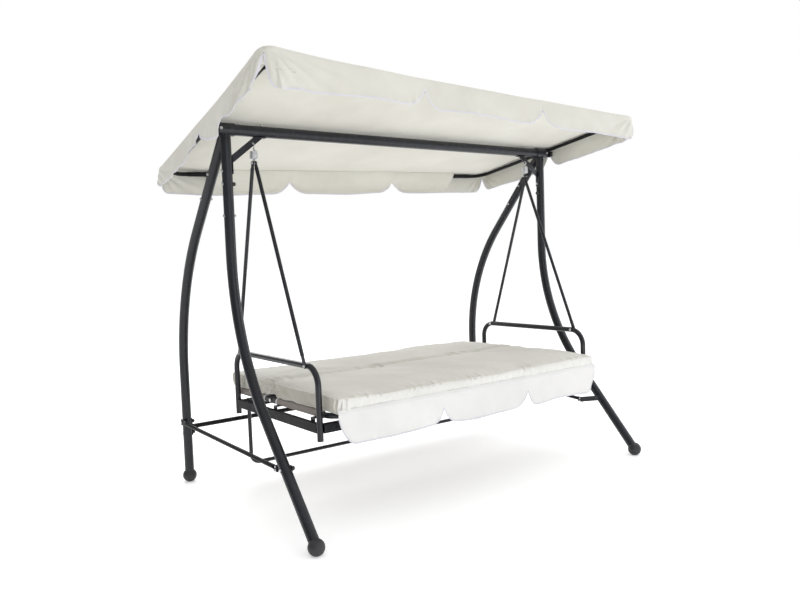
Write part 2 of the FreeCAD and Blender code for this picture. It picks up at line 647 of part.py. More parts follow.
def build_seat():
    arm = armrest()
    export("armrest_right", arm)
    export("armrest_left", mirrored(arm))
    export("armrest_end_caps", with_mirror([post_cap(ARM_FRONT), post_cap(ARM_REAR)]))

    half_w, half_h = RAIL_W / 2, RAIL_H / 2
    side = hollow_rail((ARM_X - half_w, ARM_FRONT + ARM_R + GAP, RAIL_Z - half_h),
                       (ARM_X + half_w, ARM_REAR - ARM_R - GAP, RAIL_Z + half_h), 1)
    export("seat_side_rail_right", side)
    export("seat_side_rail_left", mirrored(side))
    for name, reach, y in (("seat_front_rail", ARM_X - ARM_R - GAP, ARM_FRONT),
                           ("seat_rear_rail", ARM_X - half_w, REAR_RAIL_Y)):
        export(name, hollow_rail((-reach, y - half_w, RAIL_Z - half_h),
                                 (reach, y + half_w, RAIL_Z + half_h), 0))

    front_frame = sling_frame(SLING_FRONT, HINGE_Y - 42 - GAP)
    export("seat_sling_frame", front_frame)
    export("seat_sling", sling(SLING_FRONT + SLING_BEND + 5, HINGE_Y - 50))
    export("seat_stretcher", cross_tube(HINGE_Y - 60))
    export("sling_brackets", with_mirror([sling_bracket(y) for y in BRACKET_YS]))
    corner = corner_bracket()
    corner_bolt = (at(724, ARM_FRONT - half_w - 3, RAIL_Z), at(724, ARM_FRONT - half_w, RAIL_Z))
    corner = corner.cut(bolt_hole(*corner_bolt))
    export("corner_brackets", with_mirror([corner]))

    export("recline_hinges", with_mirror([hinge_half(-1)]))
    export("recline_pins", with_mirror([hinge_pin()]))
    export("prop_brackets", with_mirror([prop_bracket()]))
    pivot = bolt(at(PROP_X + 14, PROP_Y, PROP_Z), at(PROP_X - 14, PROP_Y, PROP_Z))
    export("prop_pivots", with_mirror([pivot]))

    export("seat_cushion", cushion(CUSHION_FRONT, HINGE_Y - 2, True))
    apron = scalloped_sheet(CUSHION_X, SEAT_VALANCE_Z1, SEAT_VALANCE_Z0, 3, 60.0, CLOTH_T)
    apron.translate(V(0, CUSHION_FRONT - CLOTH_T - 0.5, 0))
    export("seat_valance", apron)


def build_backrest():
    export("backrest_frame", sling_frame(SLING_REAR, HINGE_Y + 42 + GAP))
    export("backrest_sling", sling(HINGE_Y + 50, SLING_REAR - SLING_BEND - 5))
    stretchers = [cross_tube(HINGE_Y + 60), cross_tube(HINGE_Y + PROP_REACH)]
    export("backrest_stretchers", group(stretchers))
    export("backrest_hinges", with_mirror([hinge_half(1)]))
    export("back_cushion", cushion(HINGE_Y + 2, CUSHION_REAR, False))
    export("backrest_prop", prop())


# ---------------------------------------------------------------- canopy
def tilt_at(x):
    """Tilt of the canopy in degrees at a place along the beam."""
    return (TILT_LEFT + TILT_RIGHT) / 2 + (TILT_RIGHT - TILT_LEFT) / 2 * x / CANOPY_X


def canopy_point(x, y, h):
    """A point y from and h above the tilt axis of the level canopy, once it is tilted."""
    angle = math.radians(tilt_at(x))
    cosine, sine = math.cos(angle), math.sin(angle)
    return at(x, y * cosine + h * sine, BEAM_Z - y * sine + h * cosine)


def tilted(shape, x):
    """A level shape, measured from the tilt axis, turned to the tilt of the canopy at x."""
    shape = shape.copy()
    shape.rotate(V(0, 0, 0), X_AXIS, -tilt_at(x))
    shape.translate(V(0, 0, BEAM_Z))
    return shape


def rail_line(end):
    """Corners of the canopy frame at its front or rear, left one first, and their direction."""
    left = canopy_point(-CANOPY_X, end * CANOPY_Y, CANOPY_ARM_H)
    right = canopy_point(CANOPY_X, end * CANOPY_Y, CANOPY_ARM_H)
    return left, right, (right - left).normalize()


def canopy_arm(sign):
    """Bent side arm with the two clamp cheeks that ride on the beam stud."""
    corners, tails = [], []
    for end in (FRONT, REAR):
        left, right, along = rail_line(end)
        corner = right if sign > 0 else left
        corners.append(corner)
        tails.append(corner - along * (sign * (CANOPY_X - ARM_TAIL)))
    points = [tails[0], corners[0], corners[1], tails[1]]
    shape = tube(points, [CANOPY_BEND, CANOPY_BEND], CANOPY_ARM_R, TUBE_WALL)
    top = CANOPY_ARM_H + CANOPY_ARM_R
    for x in (CANOPY_X - CANOPY_ARM_R - 2.5, CANOPY_X + CANOPY_ARM_R - 0.5):
        cheek = box((x, -CLAMP_HALF_Y, 0), (x + 3, CLAMP_HALF_Y, top))
        cheek = cheek.fuse(cylinder(at(x, 0, 0), at(x + 3, 0, 0), CLAMP_HALF_Y))
        cheek = cheek if sign > 0 else mirrored(cheek)
        shape = shape.fuse(tilted(cheek, sign * CANOPY_X))
    shape = shape.removeSplitter()
    start, end = at(sign * (BEAM_HALF - 20), 0, BEAM_Z), at(sign * KNOB_X1, 0, BEAM_Z)
    return shape.cut(cylinder(start, end, STUD_R + 0.3))


def canopy_rail(end):
    """Straight rail pushed over the tails of the two arms."""
    left, right, along = rail_line(end)
    inset = along * (CANOPY_X - ARM_TAIL - 40)
    return straight_tube(left + inset, right - inset, CANOPY_RAIL_R, 1.2)


def cloth_profile(x):
    """Section of the roof cloth: one shallow arch from the front edge to the rear edge."""
    edge, crown, reach = CLOTH_EDGE_H, CLOTH_CROWN_H, CLOTH_HALF_Y
    front, rear = canopy_point(x, -reach, edge), canopy_point(x, reach, edge)
    front_low = canopy_point(x, -reach, edge - CLOTH_T)
    rear_low = canopy_point(x, reach, edge - CLOTH_T)
    upper = Part.Arc(front, canopy_point(x, 0, crown), rear)
    lower = Part.Arc(rear_low, canopy_point(x, 0, crown - CLOTH_T), front_low)
    edges = [upper, Part.LineSegment(rear, rear_low), lower, Part.LineSegment(front_low, front)]
    return Part.Wire([edge.toShape() for edge in edges])


def canopy_top():
    """The roof cloth, stretched between its left and its right section."""
    return Part.makeLoft([cloth_profile(-CLOTH_HALF_X), cloth_profile(CLOTH_HALF_X)], True, True)


def end_valance(end, drop):
    """Scalloped cloth that hangs from the front or rear edge."""
    left = canopy_point(-CLOTH_HALF_X, end * CLOTH_HALF_Y, CLOTH_EDGE_H - CLOTH_T)
    right = canopy_point(CLOTH_HALF_X, end * CLOTH_HALF_Y, CLOTH_EDGE_H - CLOTH_T)
    sheet = scalloped_sheet(CLOTH_HALF_X - 14, 0, -drop, 3, SCALLOP, CLOTH_T)
    sheet.translate(V(0, -CLOTH_T - 1.0 if end == FRONT else 1.0, 0))
    turn = FreeCAD.Rotation(X_AXIS, (right - left).normalize())
    place = FreeCAD.Placement((left + right) / 2, turn)
    return sheet.transformed(place.toMatrix())


def side_valance(sign, low_y, high_y):
    """One half of a side valance, parallel to its canopy arm."""
    half = (high_y - low_y) / 2
    top = CLOTH_EDGE_H - CLOTH_T - 0.5
    sheet = scalloped_sheet(half, top, top - SIDE_VALANCE, 1, SCALLOP, CLOTH_T)
    sheet.rotate(V(0, 0, 0), Z_AXIS, 90)
    sheet.translate(V(CLOTH_HALF_X, (low_y + high_y) / 2, 0))
    sheet = sheet if sign > 0 else mirrored(sheet)
    return tilted(sheet, sign * CLOTH_HALF_X)


def knob():
    """Five-lobed clamp knob screwed on the end of the beam stud."""
    start, end = at(KNOB_X0, 0, BEAM_Z), at(KNOB_X1, 0, BEAM_Z)
    neck = at(KNOB_X0 + 6, 0, BEAM_Z)
    shape = cylinder(start, neck, 9.0).fuse(cylinder(neck, end, 12.0))
    for i in range(5):
        angle = 2 * math.pi * i / 5
        offset = V(0, 12.5 * math.cos(angle), 12.5 * math.sin(angle))
        shape = shape.fuse(cylinder(neck + offset, end + offset, 6.0))
    shape = shape.removeSplitter()
    return shape.cut(cylinder(start - X_AXIS, at(STUD_END + 0.5, 0, BEAM_Z), STUD_R + 0.1))


def build_canopy():
    for side, sign in SIDES:
        export("canopy_arm_" + side, canopy_arm(sign))
        halves = [side_valance(sign, -CLOTH_HALF_Y + 10, SIDE_SPLIT[0]),
                  side_valance(sign, SIDE_SPLIT[1], CLOTH_HALF_Y - 10)]
        export("canopy_valance_" + side, group(halves))
    export("canopy_front_rail", canopy_rail(FRONT))
    export("canopy_rear_rail", canopy_rail(REAR))
    export("canopy_top", canopy_top())
    export("canopy_valance_front", end_valance(FRONT, FRONT_VALANCE))
    export("canopy_valance_rear", end_valance(REAR, REAR_VALANCE))
    grip = knob()
    export("clamp_knob_right", grip)
    export("clamp_knob_left", mirrored(grip))


build_frame()
build_side_rails()
build_rear_bar()
build_hangers()
build_seat()
build_backrest()
build_canopy()
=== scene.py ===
import math

import bpy
import bmesh
import numpy as np
from mathutils import Matrix, Vector
from mathutils.bvhtree import BVHTree


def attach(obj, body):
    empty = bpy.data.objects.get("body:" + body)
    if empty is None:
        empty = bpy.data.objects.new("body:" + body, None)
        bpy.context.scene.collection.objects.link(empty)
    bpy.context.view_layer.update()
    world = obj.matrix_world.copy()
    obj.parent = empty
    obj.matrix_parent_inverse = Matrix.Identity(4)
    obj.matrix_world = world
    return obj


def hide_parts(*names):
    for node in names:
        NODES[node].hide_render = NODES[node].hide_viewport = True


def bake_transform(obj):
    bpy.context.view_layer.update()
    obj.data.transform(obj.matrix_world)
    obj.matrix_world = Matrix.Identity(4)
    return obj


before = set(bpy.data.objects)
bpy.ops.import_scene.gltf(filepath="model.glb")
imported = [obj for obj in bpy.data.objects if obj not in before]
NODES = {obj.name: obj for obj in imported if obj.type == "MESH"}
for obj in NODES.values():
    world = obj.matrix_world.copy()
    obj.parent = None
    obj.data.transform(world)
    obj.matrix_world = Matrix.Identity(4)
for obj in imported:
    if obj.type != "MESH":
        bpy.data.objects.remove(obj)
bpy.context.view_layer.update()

# Dimensions in metres, in the row frame
PIVOT_Z = 1.600              # canopy hinge and beam axis
TILT_LEFT, TILT_RIGHT = 15.2, 9.2    # degrees, front edge up, at each canopy arm
ARM_X = 1.000
CLOTH_X, CLOTH_Y = 1.041, 0.575      # half size of the canopy cloth
CLOTH_CORNER = 0.058         # radius of its corners, beyond the bent arms
SPLIT_Y = 0.012              # where the side valances are open
CLOTH_EDGE = 0.0305          # height of the cloth edge over the hinge axis
CLOTH_ROLL = 0.013           # radius at which the cloth turns over the rails
CANVAS, SLEEVE_CLOTH, WEBBING = 0.0012, 0.0009, 0.0008       # thickness of the cloths
NOTCHES = {"front": (-0.336, 0.345), "rear": (-0.342, 0.326)}
SLEEVE_ENDS = (-0.79, 0.755)         # the rear rail comes out of its sleeve here
POCKET_LEFT, POCKET_RIGHT = -0.20, -0.47     # the front sleeve goes on round the corners up to here
SEAM_X, SEAM_Y, SEAM_INSET = 0.965, 0.517, 0.058    # seam of the sleeves under the canopy top

CUSHION_X, CUSHION_FRONT, CUSHION_REAR = 0.766, -0.4955, 0.472
CUSHION_LOW, CUSHION_TOP = 0.4622, 0.530
FOLD_Y = 0.040               # fold between the seat and the back of the cushion
SLING_X, SLING_Z, SLEEVE_R = 0.757, 0.447, 0.0141
SEAT_WEB, BACK_WEB = (-0.375, 0.0), (0.100, 0.375)   # from and to, along y
CUFF = 0.012                 # width of the bound ends of the sling sleeves
HINGE_Y, HINGE_REACH = 0.050, 0.07   # the cushion bends within this distance of the hinge

APRON_X, APRON_TOP, APRON_SEAM = 0.764, 0.480, 0.023
APRON_FULL, APRON_CUT = 0.139, 0.151     # mean depth of the hung cloth, and the width cut for it
APRON_NOTCHES = (-0.238, 0.271)

COIL_R, WIRE_R, HOOK_R = 0.0150, 0.0025, 0.0100
HOOK_X, HOOK_TOP_Z, HOOK_LOW_Z = 0.819, 1.541, 1.4722
COIL_TURNS, COIL_STEP, COIL_SINK = 7, 0.0056, 0.0050     # the coil sits this much nearer to the lower hook


# ------------------------------------------------------------------ materials
class Tree:
    """Small helper around one material's node tree."""

    def __init__(self, name):
        self.material = bpy.data.materials.new(name)
        self.material.use_nodes = True
        self.nodes = self.material.node_tree.nodes
        self.links = self.material.node_tree.links
        self.shader = self.nodes["Principled BSDF"]

    def node(self, kind, **settings):
        made = self.nodes.new("ShaderNode" + kind)
        for key, value in settings.items():
            if hasattr(made, key):
                setattr(made, key, value)
            else:
                made.inputs[key.replace("_", " ").title()].default_value = value
        return made

    def link(self, source, target, socket):
        self.links.new(source, target.inputs[socket])

    def coordinates(self, kind="Object"):
        return self.node("TexCoord").outputs[kind]

    def noise(self, vector, scale, detail=3.0, roughness=0.55):
        made = self.node("TexNoise", scale=scale, detail=detail, roughness=roughness)
        self.link(vector, made, "Vector")
        return made.outputs["Fac"]

    def ramp(self, value, stops):
        made = self.node("ValToRGB")
        elements = made.color_ramp.elements
        while len(elements) < len(stops):
            elements.new(0.5)
        for element, (position, colour) in zip(elements, stops):
            element.position = position
            element.color = (*colour, 1.0) if len(colour) == 3 else (*colour * 3, 1.0)
        self.link(value, made, "Fac")
        return made.outputs["Color"]

    def span(self, value, low, high):
        made = self.node("MapRange")
        made.inputs["To Min"].default_value = low
        made.inputs["To Max"].default_value = high
        self.link(value, made, "Value")
        return made.outputs["Result"]

    def mix(self, factor, a, b, mode="MIX"):
        made = self.node("Mix", data_type="RGBA", blend_type=mode)
        if isinstance(factor, float):
            made.inputs[0].default_value = factor
        else:
            self.links.new(factor, made.inputs[0])
        for socket, value in ((6, a), (7, b)):
            if isinstance(value, tuple):
                made.inputs[socket].default_value = (*value, 1.0)
            else:
                self.links.new(value, made.inputs[socket])
        return made.outputs[2]

    def maths(self, operation, a, b=None):
        made = self.node("Math", operation=operation)
        for i, value in enumerate((a, b)):
            if isinstance(value, (int, float)):
                made.inputs[i].default_value = value
            elif value is not None:
                self.links.new(value, made.inputs[i])
        return made.outputs[0]

    def bump(self, height, strength, distance, under=None):
        made = self.node("Bump")
        made.inputs["Strength"].default_value = strength
        made.inputs["Distance"].default_value = distance
        self.link(height, made, "Height")
        if under is not None:
            self.link(under, made, "Normal")
        return made.outputs["Normal"]

    def finish(self, colour=None, rough=None, normal=None, **direct):
        for socket, value in (("Base Color", colour), ("Roughness", rough), ("Normal", normal)):
            if value is not None:
                self.link(value, self.shader, socket)
        for key, value in direct.items():
            self.shader.inputs[key.replace("_", " ").title().replace("Ior", "IOR")].default_value = value
        return self.material


def painted_metal(name, dark, light, rough, coat, gloss=0.42):
    """Powder-coated or enamelled steel: fine orange peel, cloudy colour, lighter worn edges."""
    t = Tree(name)
    place = t.coordinates()
    cloud = t.ramp(t.noise(place, 7.0, 4.0), [(0.3, dark), (0.7, light)])
    worn = tuple(c * 2.0 + 0.006 for c in light)
    edge = t.ramp(t.node("NewGeometry").outputs["Pointiness"], [(0.53, (0.0,) * 3), (0.62, (1.0,) * 3)])
    patch = t.ramp(t.noise(place, 45.0, 5.0), [(0.45, (0.0,) * 3), (0.7, (0.6,) * 3)])
    colour = t.mix(t.maths("MULTIPLY", edge, patch), cloud, worn)
    peel = t.bump(t.noise(place, 650.0, 2.0), 0.12, 0.0005)
    waves = t.bump(t.noise(place, 60.0, 2.0), 0.05, 0.002, peel)
    return t.finish(colour, t.span(t.noise(place, 22.0, 4.0), *rough), waves,
                    coat_weight=coat, coat_roughness=0.18, specular_ior_level=gloss)


def moulded_plastic(name):
    """Black moulded plastic with a fine spark-eroded grain."""
    t = Tree(name)
    place = t.coordinates()
    colour = t.ramp(t.noise(place, 18.0, 3.0), [(0.3, (0.014, 0.014, 0.016)), (0.7, (0.026, 0.026, 0.029))])
    grain = t.bump(t.noise(place, 1400.0, 2.0), 0.3, 0.0003)
    return t.finish(colour, t.span(t.noise(place, 90.0, 4.0), 0.42, 0.62), grain)


def plated_metal(name):
    """Bright zinc plating with a faint crystal pattern and rubbed spots."""
    t = Tree(name)
    place = t.coordinates()
    cells = t.node("TexVoronoi", scale=420.0)
    t.link(place, cells, "Vector")
    colour = t.ramp(t.noise(place, 160.0, 3.0), [(0.3, (0.50, 0.51, 0.53)), (0.7, (0.74, 0.75, 0.77))])
    crystals = t.bump(cells.outputs["Distance"], 0.05, 0.0002)
    scratches = t.bump(t.noise(place, 900.0, 3.0), 0.1, 0.0002, crystals)
    return t.finish(colour, t.span(t.noise(place, 70.0, 4.0), 0.2, 0.38), scratches, metallic=1.0)


def woven(name, dark, light, pitch, kind="Object", relief=0.3, sheen=0.25):
    """Plain-weave cloth: crossing yarns, slubs, a broad uneven tone and faint handling creases."""
    t = Tree(name)
    place = t.coordinates(kind)
    turned = t.node("Mapping")
    if kind == "Object":
        turned.inputs["Rotation"].default_value = (math.radians(45.0), 0.0, 0.0)
    t.link(place, turned, "Vector")
    yarns = []
    for direction in ("X", "Y"):
        wave = t.node("TexWave", bands_direction=direction, distortion=0.6, detail=1.0,
                      scale=0.31416 / pitch)
        wave.inputs["Detail Scale"].default_value = 30.0
        t.link(turned.outputs["Vector"], wave, "Vector")
        yarns.append(wave.outputs["Fac"])
    weave = t.maths("MULTIPLY", *yarns)
    slub = t.noise(turned.outputs["Vector"], 170.0, 4.0, 0.7)
    broad = t.noise(place, 2.6, 5.0, 0.6)
    base = t.ramp(broad, [(0.32, dark), (0.68, light)])
    shade = t.mix(t.span(weave, 0.0, 0.16), base, tuple(c * 0.72 for c in dark))
    colour = t.mix(t.span(slub, 0.0, 0.22), shade, light)
    creases = t.bump(t.noise(place, 14.0, 6.0, 0.62), 0.12, 0.006)
    surface = t.bump(weave, relief, pitch * 0.5, t.bump(slub, 0.25, 0.0006, creases))
    return t.finish(colour, t.span(slub, 0.78, 0.92), surface, sheen_weight=sheen, sheen_roughness=0.45,
                    specular_ior_level=0.3)


PAINT = painted_metal("paint_anthracite", (0.0045, 0.0052, 0.0085), (0.0085, 0.0095, 0.0150),
                      (0.24, 0.36), 0.06)
ENAMEL = painted_metal("enamel_black", (0.005, 0.005, 0.006), (0.010, 0.010, 0.011), (0.34, 0.48), 0.05)
# Painted shade: a darker, less glossy copy of the frame paint for the tubes that lie in shade.
PAINT_PAINTED_SHADE = painted_metal("paint_black_painted_shade", (0.003, 0.003, 0.004), (0.006, 0.006, 0.008),
                           (0.38, 0.50), 0.0, 0.16)
PLASTIC = moulded_plastic("plastic_black")
ZINC = plated_metal("zinc_plating")
CANOPY_CLOTH = woven("cloth_canopy", (0.60, 0.585, 0.52), (0.70, 0.69, 0.63), 0.0016, "UV", 0.22)
CUSHION_CLOTH = woven("cloth_cushion", (0.655, 0.635, 0.58), (0.75, 0.735, 0.685), 0.0016, "Object", 0.25)
# Painted light: a lighter copy of the cushion cloth for the front faces, standing in for the lamps in
# front.
CUSHION_FRONT_PAINTED_LIGHT = woven("cloth_cushion_front_painted_light", (0.69, 0.685, 0.655), (0.78, 0.775, 0.75), 0.0016, "Object", 0.25)
# Painted shade: a darker, more olive copy of the cushion cloth for the end walls of the cushion.
CUSHION_END_PAINTED_SHADE = woven("cloth_cushion_end_painted_shade", (0.50, 0.485, 0.415), (0.59, 0.575, 0.505), 0.0016, "Object", 0.25)
VALANCE_CLOTH = woven("cloth_valance", (0.70, 0.695, 0.68), (0.79, 0.785, 0.77), 0.0016, "UV", 0.22)
SLING_CLOTH = woven("cloth_sling", (0.235, 0.205, 0.185), (0.33, 0.295, 0.27), 0.0021, "UV", 0.5, 0.1)
TAPE = woven("binding_tape", (0.60, 0.59, 0.63), (0.70, 0.69, 0.735), 0.0009, "UV", 0.4, 0.3)

FINISHES = {"frame_paint": PAINT, "black_plastic": PLASTIC, "zinc": ZINC, "hinge_black": ENAMEL,
            "sling_fabric": SLING_CLOTH, "cushion_fabric": CUSHION_CLOTH, "canopy_fabric": CANOPY_CLOTH}


# Tubes that get the painted-shade copy of the frame paint.
TUBES_IN_PAINTED_SHADE = ("canopy_arm_left", "canopy_arm_right", "canopy_front_rail", "canopy_rear_rail",
              "seat_side_rail_left", "seat_side_rail_right", "seat_front_rail", "seat_rear_rail",
              "seat_stretcher", "side_rail_left", "side_rail_right", "rear_bar")


def dress_cad_nodes():
    """Every carried-over CAD node gets the procedural finish of its material slot; the listed tubes in
    shade get a darker, less glossy copy of the frame paint, which is painted shade.
    """
    for name, obj in NODES.items():
        for slot in obj.material_slots:
            key = slot.material.name.split(".")[0] if slot.material else ""
            slot.material = PAINT_PAINTED_SHADE if name in TUBES_IN_PAINTED_SHADE else FINISHES.get(key, PAINT)
        if not obj.material_slots:
            obj.data.materials.append(PAINT)


# ------------------------------------------------------------------ mesh helpers
def mesh_object(name, verts, faces, material, uvs=None):
    mesh = bpy.data.meshes.new(name)
    mesh.from_pydata([tuple(v) for v in verts], [], faces)
    mesh.update()
    mesh.polygons.foreach_set("use_smooth", [True] * len(mesh.polygons))
    if uvs is not None:
        layer = mesh.uv_layers.new(name="UVMap")
        loops = np.empty(len(mesh.loops), dtype=np.int32)
        mesh.loops.foreach_get("vertex_index", loops)
        layer.data.foreach_set("uv", np.asarray(uvs, float)[loops].ravel())
    obj = bpy.data.objects.new(name, mesh)
    bpy.context.scene.collection.objects.link(obj)
    mesh.materials.append(material)
    return obj


def grid_faces(rows, cols, wrap=False, base=0):
    """Quads between the points of a rows x cols table, numbered row by row."""
    last = cols if wrap else cols - 1
    return [(base + i * cols + j, base + i * cols + (j + 1) % cols,
             base + (i + 1) * cols + (j + 1) % cols, base + (i + 1) * cols + j)
            for i in range(rows - 1) for j in range(last)]


def grid_object(name, points, material, wrap=False, uvs=None):
    """points is rows x cols x 3; uvs, in metres, is rows x cols x 2."""
    rows, cols = points.shape[:2]
    flat_uvs = None if uvs is None else uvs.reshape(-1, 2)
    return mesh_object(name, points.reshape(-1, 3), grid_faces(rows, cols, wrap), material, flat_uvs)


def modifier(obj, kind, **settings):
    made = obj.modifiers.new(kind.lower(), kind)
    for key, value in settings.items():
        setattr(made, key, value)
    return made


def apply_modifiers(obj):
    """Replaces obj's mesh by what its modifiers make of it."""
    depsgraph = bpy.context.evaluated_depsgraph_get()
    made = bpy.data.meshes.new_from_object(obj.evaluated_get(depsgraph), depsgraph=depsgraph)
    obj.modifiers.clear()
    obj.data = made


def weld_close(obj):
    """Joins points that lie on each other."""
    weld = bmesh.new()
    weld.from_mesh(obj.data)
    bmesh.ops.remove_doubles(weld, verts=weld.verts, dist=2e-4)
    weld.to_mesh(obj.data)
    weld.free()


def thicken(obj, thickness):
    modifier(obj, "SOLIDIFY", thickness=thickness, offset=0.0)
    apply_modifiers(obj)


def tube_mesh(name, path, radius, material, sides=10, closed=False):
    """Round tube along a polyline, with its ends closed."""
    path = np.asarray(path, float)
    count = len(path)
    before = np.roll(path, 1, axis=0) if closed else np.vstack([path[:1], path[:-1]])
    after = np.roll(path, -1, axis=0) if closed else np.vstack([path[1:], path[-1:]])
    along = after - before
    along /= np.linalg.norm(along, axis=1)[:, None]
    side = np.zeros_like(path)
    reference = np.array((0.0, 0.0, 1.0)) if abs(along[0, 2]) < 0.9 else np.array((1.0, 0.0, 0.0))
    for i in range(count):
        reference = reference - along[i] * (reference @ along[i])
        reference /= np.linalg.norm(reference)
        side[i] = reference
    other = np.cross(along, side)
    angles = np.linspace(0, 2 * math.pi, sides, endpoint=False)
    rings = (path[:, None] + radius * (np.cos(angles)[None, :, None] * side[:, None]
                                       + np.sin(angles)[None, :, None] * other[:, None]))
    if closed:
        rings = np.vstack([rings, rings[:1]])
    faces = grid_faces(len(rings), sides, wrap=True)
    if not closed:
        faces += [tuple(range(sides))[::-1], tuple(range((count - 1) * sides, count * sides))]
    return mesh_object(name, rings.reshape(-1, 3), faces, material)


def ease(x):
    x = np.clip(x, 0.0, 1.0)
    return x * x * (3.0 - 2.0 * x)


def ripple(x, lengths, seed):
    """Smooth uneven wave of about unit height, the sum of a few sines of the given lengths."""
    total = np.zeros_like(np.asarray(x, float))
    for i, length in enumerate(lengths):
        total = total + np.sin(2 * math.pi * x / length + seed * (1.7 + i) + 0.9 * i) / (1.0 + 0.55 * i)
    return total / 1.6


# ------------------------------------------------------------------ canopy
def tilt_at(x):
    """Cosine and sine of the canopy tilt at a place along the beam."""
    middle, half = (TILT_LEFT + TILT_RIGHT) / 2, (TILT_RIGHT - TILT_LEFT) / 2
    angle = np.radians(middle + half * x / ARM_X)
    return np.cos(angle), np.sin(angle)


def tilted(x, y, h):
    """World point of canopy coordinates: y and h are along and above the tilted cloth."""
    c, s = tilt_at(x)
    return np.stack([x, y * c + h * s, PIVOT_Z - y * s + h * c], axis=-1)


def spaced(low, high, step, marks=()):
    """Even steps from low to high, closer together beside each mark."""
    values = list(np.linspace(low, high, max(2, int(round((high - low) / step)) + 1)))
    for mark in marks:
        for offset in (0.0, 0.0012, 0.003, 0.006, 0.010, 0.015, 0.021, 0.029, 0.039, 0.050, 0.064):
            values += [mark - offset, mark + offset]
    values = sorted(v for v in values if low <= v <= high)
    kept = [values[0]]
    for value in values[1:]:
        if value - kept[-1] > 0.0009:
            kept.append(value)
    kept[-1] = high
    return np.array(kept)


class Perimeter:
    """The rounded edge of the canopy cloth, walked once round from the front left corner."""

    def __init__(self):
        a, b, r = CLOTH_X, CLOTH_Y, CLOTH_CORNER
        xs = spaced(-(a - r), a - r, 0.014, NOTCHES["front"] + NOTCHES["rear"] + (-(a - r), a - r))
        ys = spaced(-(b - r), b - r, 0.014, (SPLIT_Y, -(b - r), b - r))
        rows = [(x, -b, 0.0, -1.0) for x in xs]
        rows += self.corner(a - r, -(b - r), -90.0)
        rows += [(a, y, 1.0, 0.0) for y in ys]
        rows += self.corner(a - r, b - r, 0.0)
        rows += [(x, b, 0.0, 1.0) for x in xs[::-1]]
        rows += self.corner(-(a - r), b - r, 90.0)
        rows += [(-a, y, -1.0, 0.0) for y in ys[::-1]]
        rows += self.corner(-(a - r), -(b - r), 180.0)
        self.table = np.array(rows)
        steps = np.linalg.norm(np.diff(self.table[:, :2], axis=0, append=self.table[:1, :2]), axis=1)
        self.s = np.concatenate([[0.0], np.cumsum(steps)[:-1]])
        self.length = float(steps.sum())
        quarter = math.pi * r / 2
        front, side = 2 * (a - r), 2 * (b - r)
        self.front_at = lambda x: x + a - r
        self.right_at = lambda y: front + quarter + y + b - r
        self.rear_at = lambda x: front + quarter + side + quarter + (a - r) - x
        self.left_at = lambda y: 2 * front + 3 * quarter + side + (b - r) - y
        self.corners = [front + quarter / 2, front + quarter * 1.5 + side,
                        2 * front + quarter * 2.5 + side, self.length - quarter / 2]

    @staticmethod
    def corner(x, y, start):
        """Rows of a quarter circle about x, y, from the direction start in degrees."""
        turns = np.radians(start + 3.0 * np.arange(1, 30))
        return [(x + CLOTH_CORNER * math.cos(t), y + CLOTH_CORNER * math.sin(t), math.cos(t), math.sin(t))
                for t in turns]

    def at(self, s):
        """x, y and outward normal at perimeter distance s."""
        ring = np.concatenate([self.s, [self.length]])
        table = np.vstack([self.table, self.table[:1]])
        wrapped = np.mod(s, self.length)
        return [np.interp(wrapped, ring, table[:, i]) for i in range(4)]

    def apart(self, s, other):
        """Signed distance round the edge from other to s."""
        return np.mod(s - other + self.length / 2, self.length) - self.length / 2


EDGE = Perimeter()
FRONT_RIGHT, REAR_RIGHT, REAR_LEFT, FRONT_LEFT = EDGE.corners
LEFT_SPLIT, RIGHT_SPLIT = EDGE.left_at(SPLIT_Y), EDGE.right_at(SPLIT_Y)
FRONT_DEPTH = 0.127
# Where the valance is cut: place on the edge, depth of cloth left there, width of the rounding on each side
CUTS = ([(EDGE.front_at(x), 0.058, 0.105, 0.085) for x in NOTCHES["front"]]
        + [(EDGE.rear_at(x), 0.050, 0.110, 0.100) for x in NOTCHES["rear"]]
        + [(FRONT_RIGHT, 0.040, 0.060, 0.070), (REAR_RIGHT, 0.030, 0.050, 0.045),
           (REAR_LEFT, 0.030, 0.050, 0.070), (FRONT_LEFT, 0.036, 0.050, 0.036),
           (LEFT_SPLIT, 0.064, 0.200, 0.120), (RIGHT_SPLIT, 0.016, 0.075, 0.075)])
# Full depth of the valance from each corner or split to the next, going round
PANELS = [(FRONT_LEFT - EDGE.length, FRONT_RIGHT, FRONT_DEPTH), (FRONT_RIGHT, RIGHT_SPLIT, 0.112),
          (RIGHT_SPLIT, REAR_RIGHT, 0.112), (REAR_RIGHT, REAR_LEFT, 0.113),
          (REAR_LEFT, LEFT_SPLIT, 0.106), (LEFT_SPLIT, FRONT_LEFT, 0.124)]


def valance_drop(s):
    """How far down the cloth reaches below the canopy edge at perimeter distance s."""
    wrapped = np.mod(s, EDGE.length)
    full = np.full_like(wrapped, FRONT_DEPTH)
    for low, high, depth in PANELS:
        inside = (wrapped >= low) & (wrapped <= high)
        full = np.where(inside, depth, full)
    past_corner = EDGE.apart(wrapped, FRONT_LEFT)
    full = full + 0.030 * np.where(past_corner > 0, np.exp(-(past_corner / 0.30) ** 2), 0.0)
    loose = np.exp(-(EDGE.apart(wrapped, EDGE.left_at(-0.28)) / 0.3) ** 2)
    uneven = 0.035 * ripple(wrapped, (0.71, 0.43), 1.3) + 0.13 * loose * ripple(wrapped, (0.19, 0.31), 0.9)
    full = full * (1.0 + uneven)
    drop = full.copy()
    for place, left_over, before, after in CUTS:
        gap = EDGE.apart(wrapped, place)
        width = np.where(gap < 0, before, after)
        t = np.clip(np.abs(gap) / width, 0.0, 1.0)
        rise = (1.0 - (1.0 - t) ** 2.2) ** 0.85
        drop = np.minimum(drop, left_over + (full - left_over) * rise)
    return drop


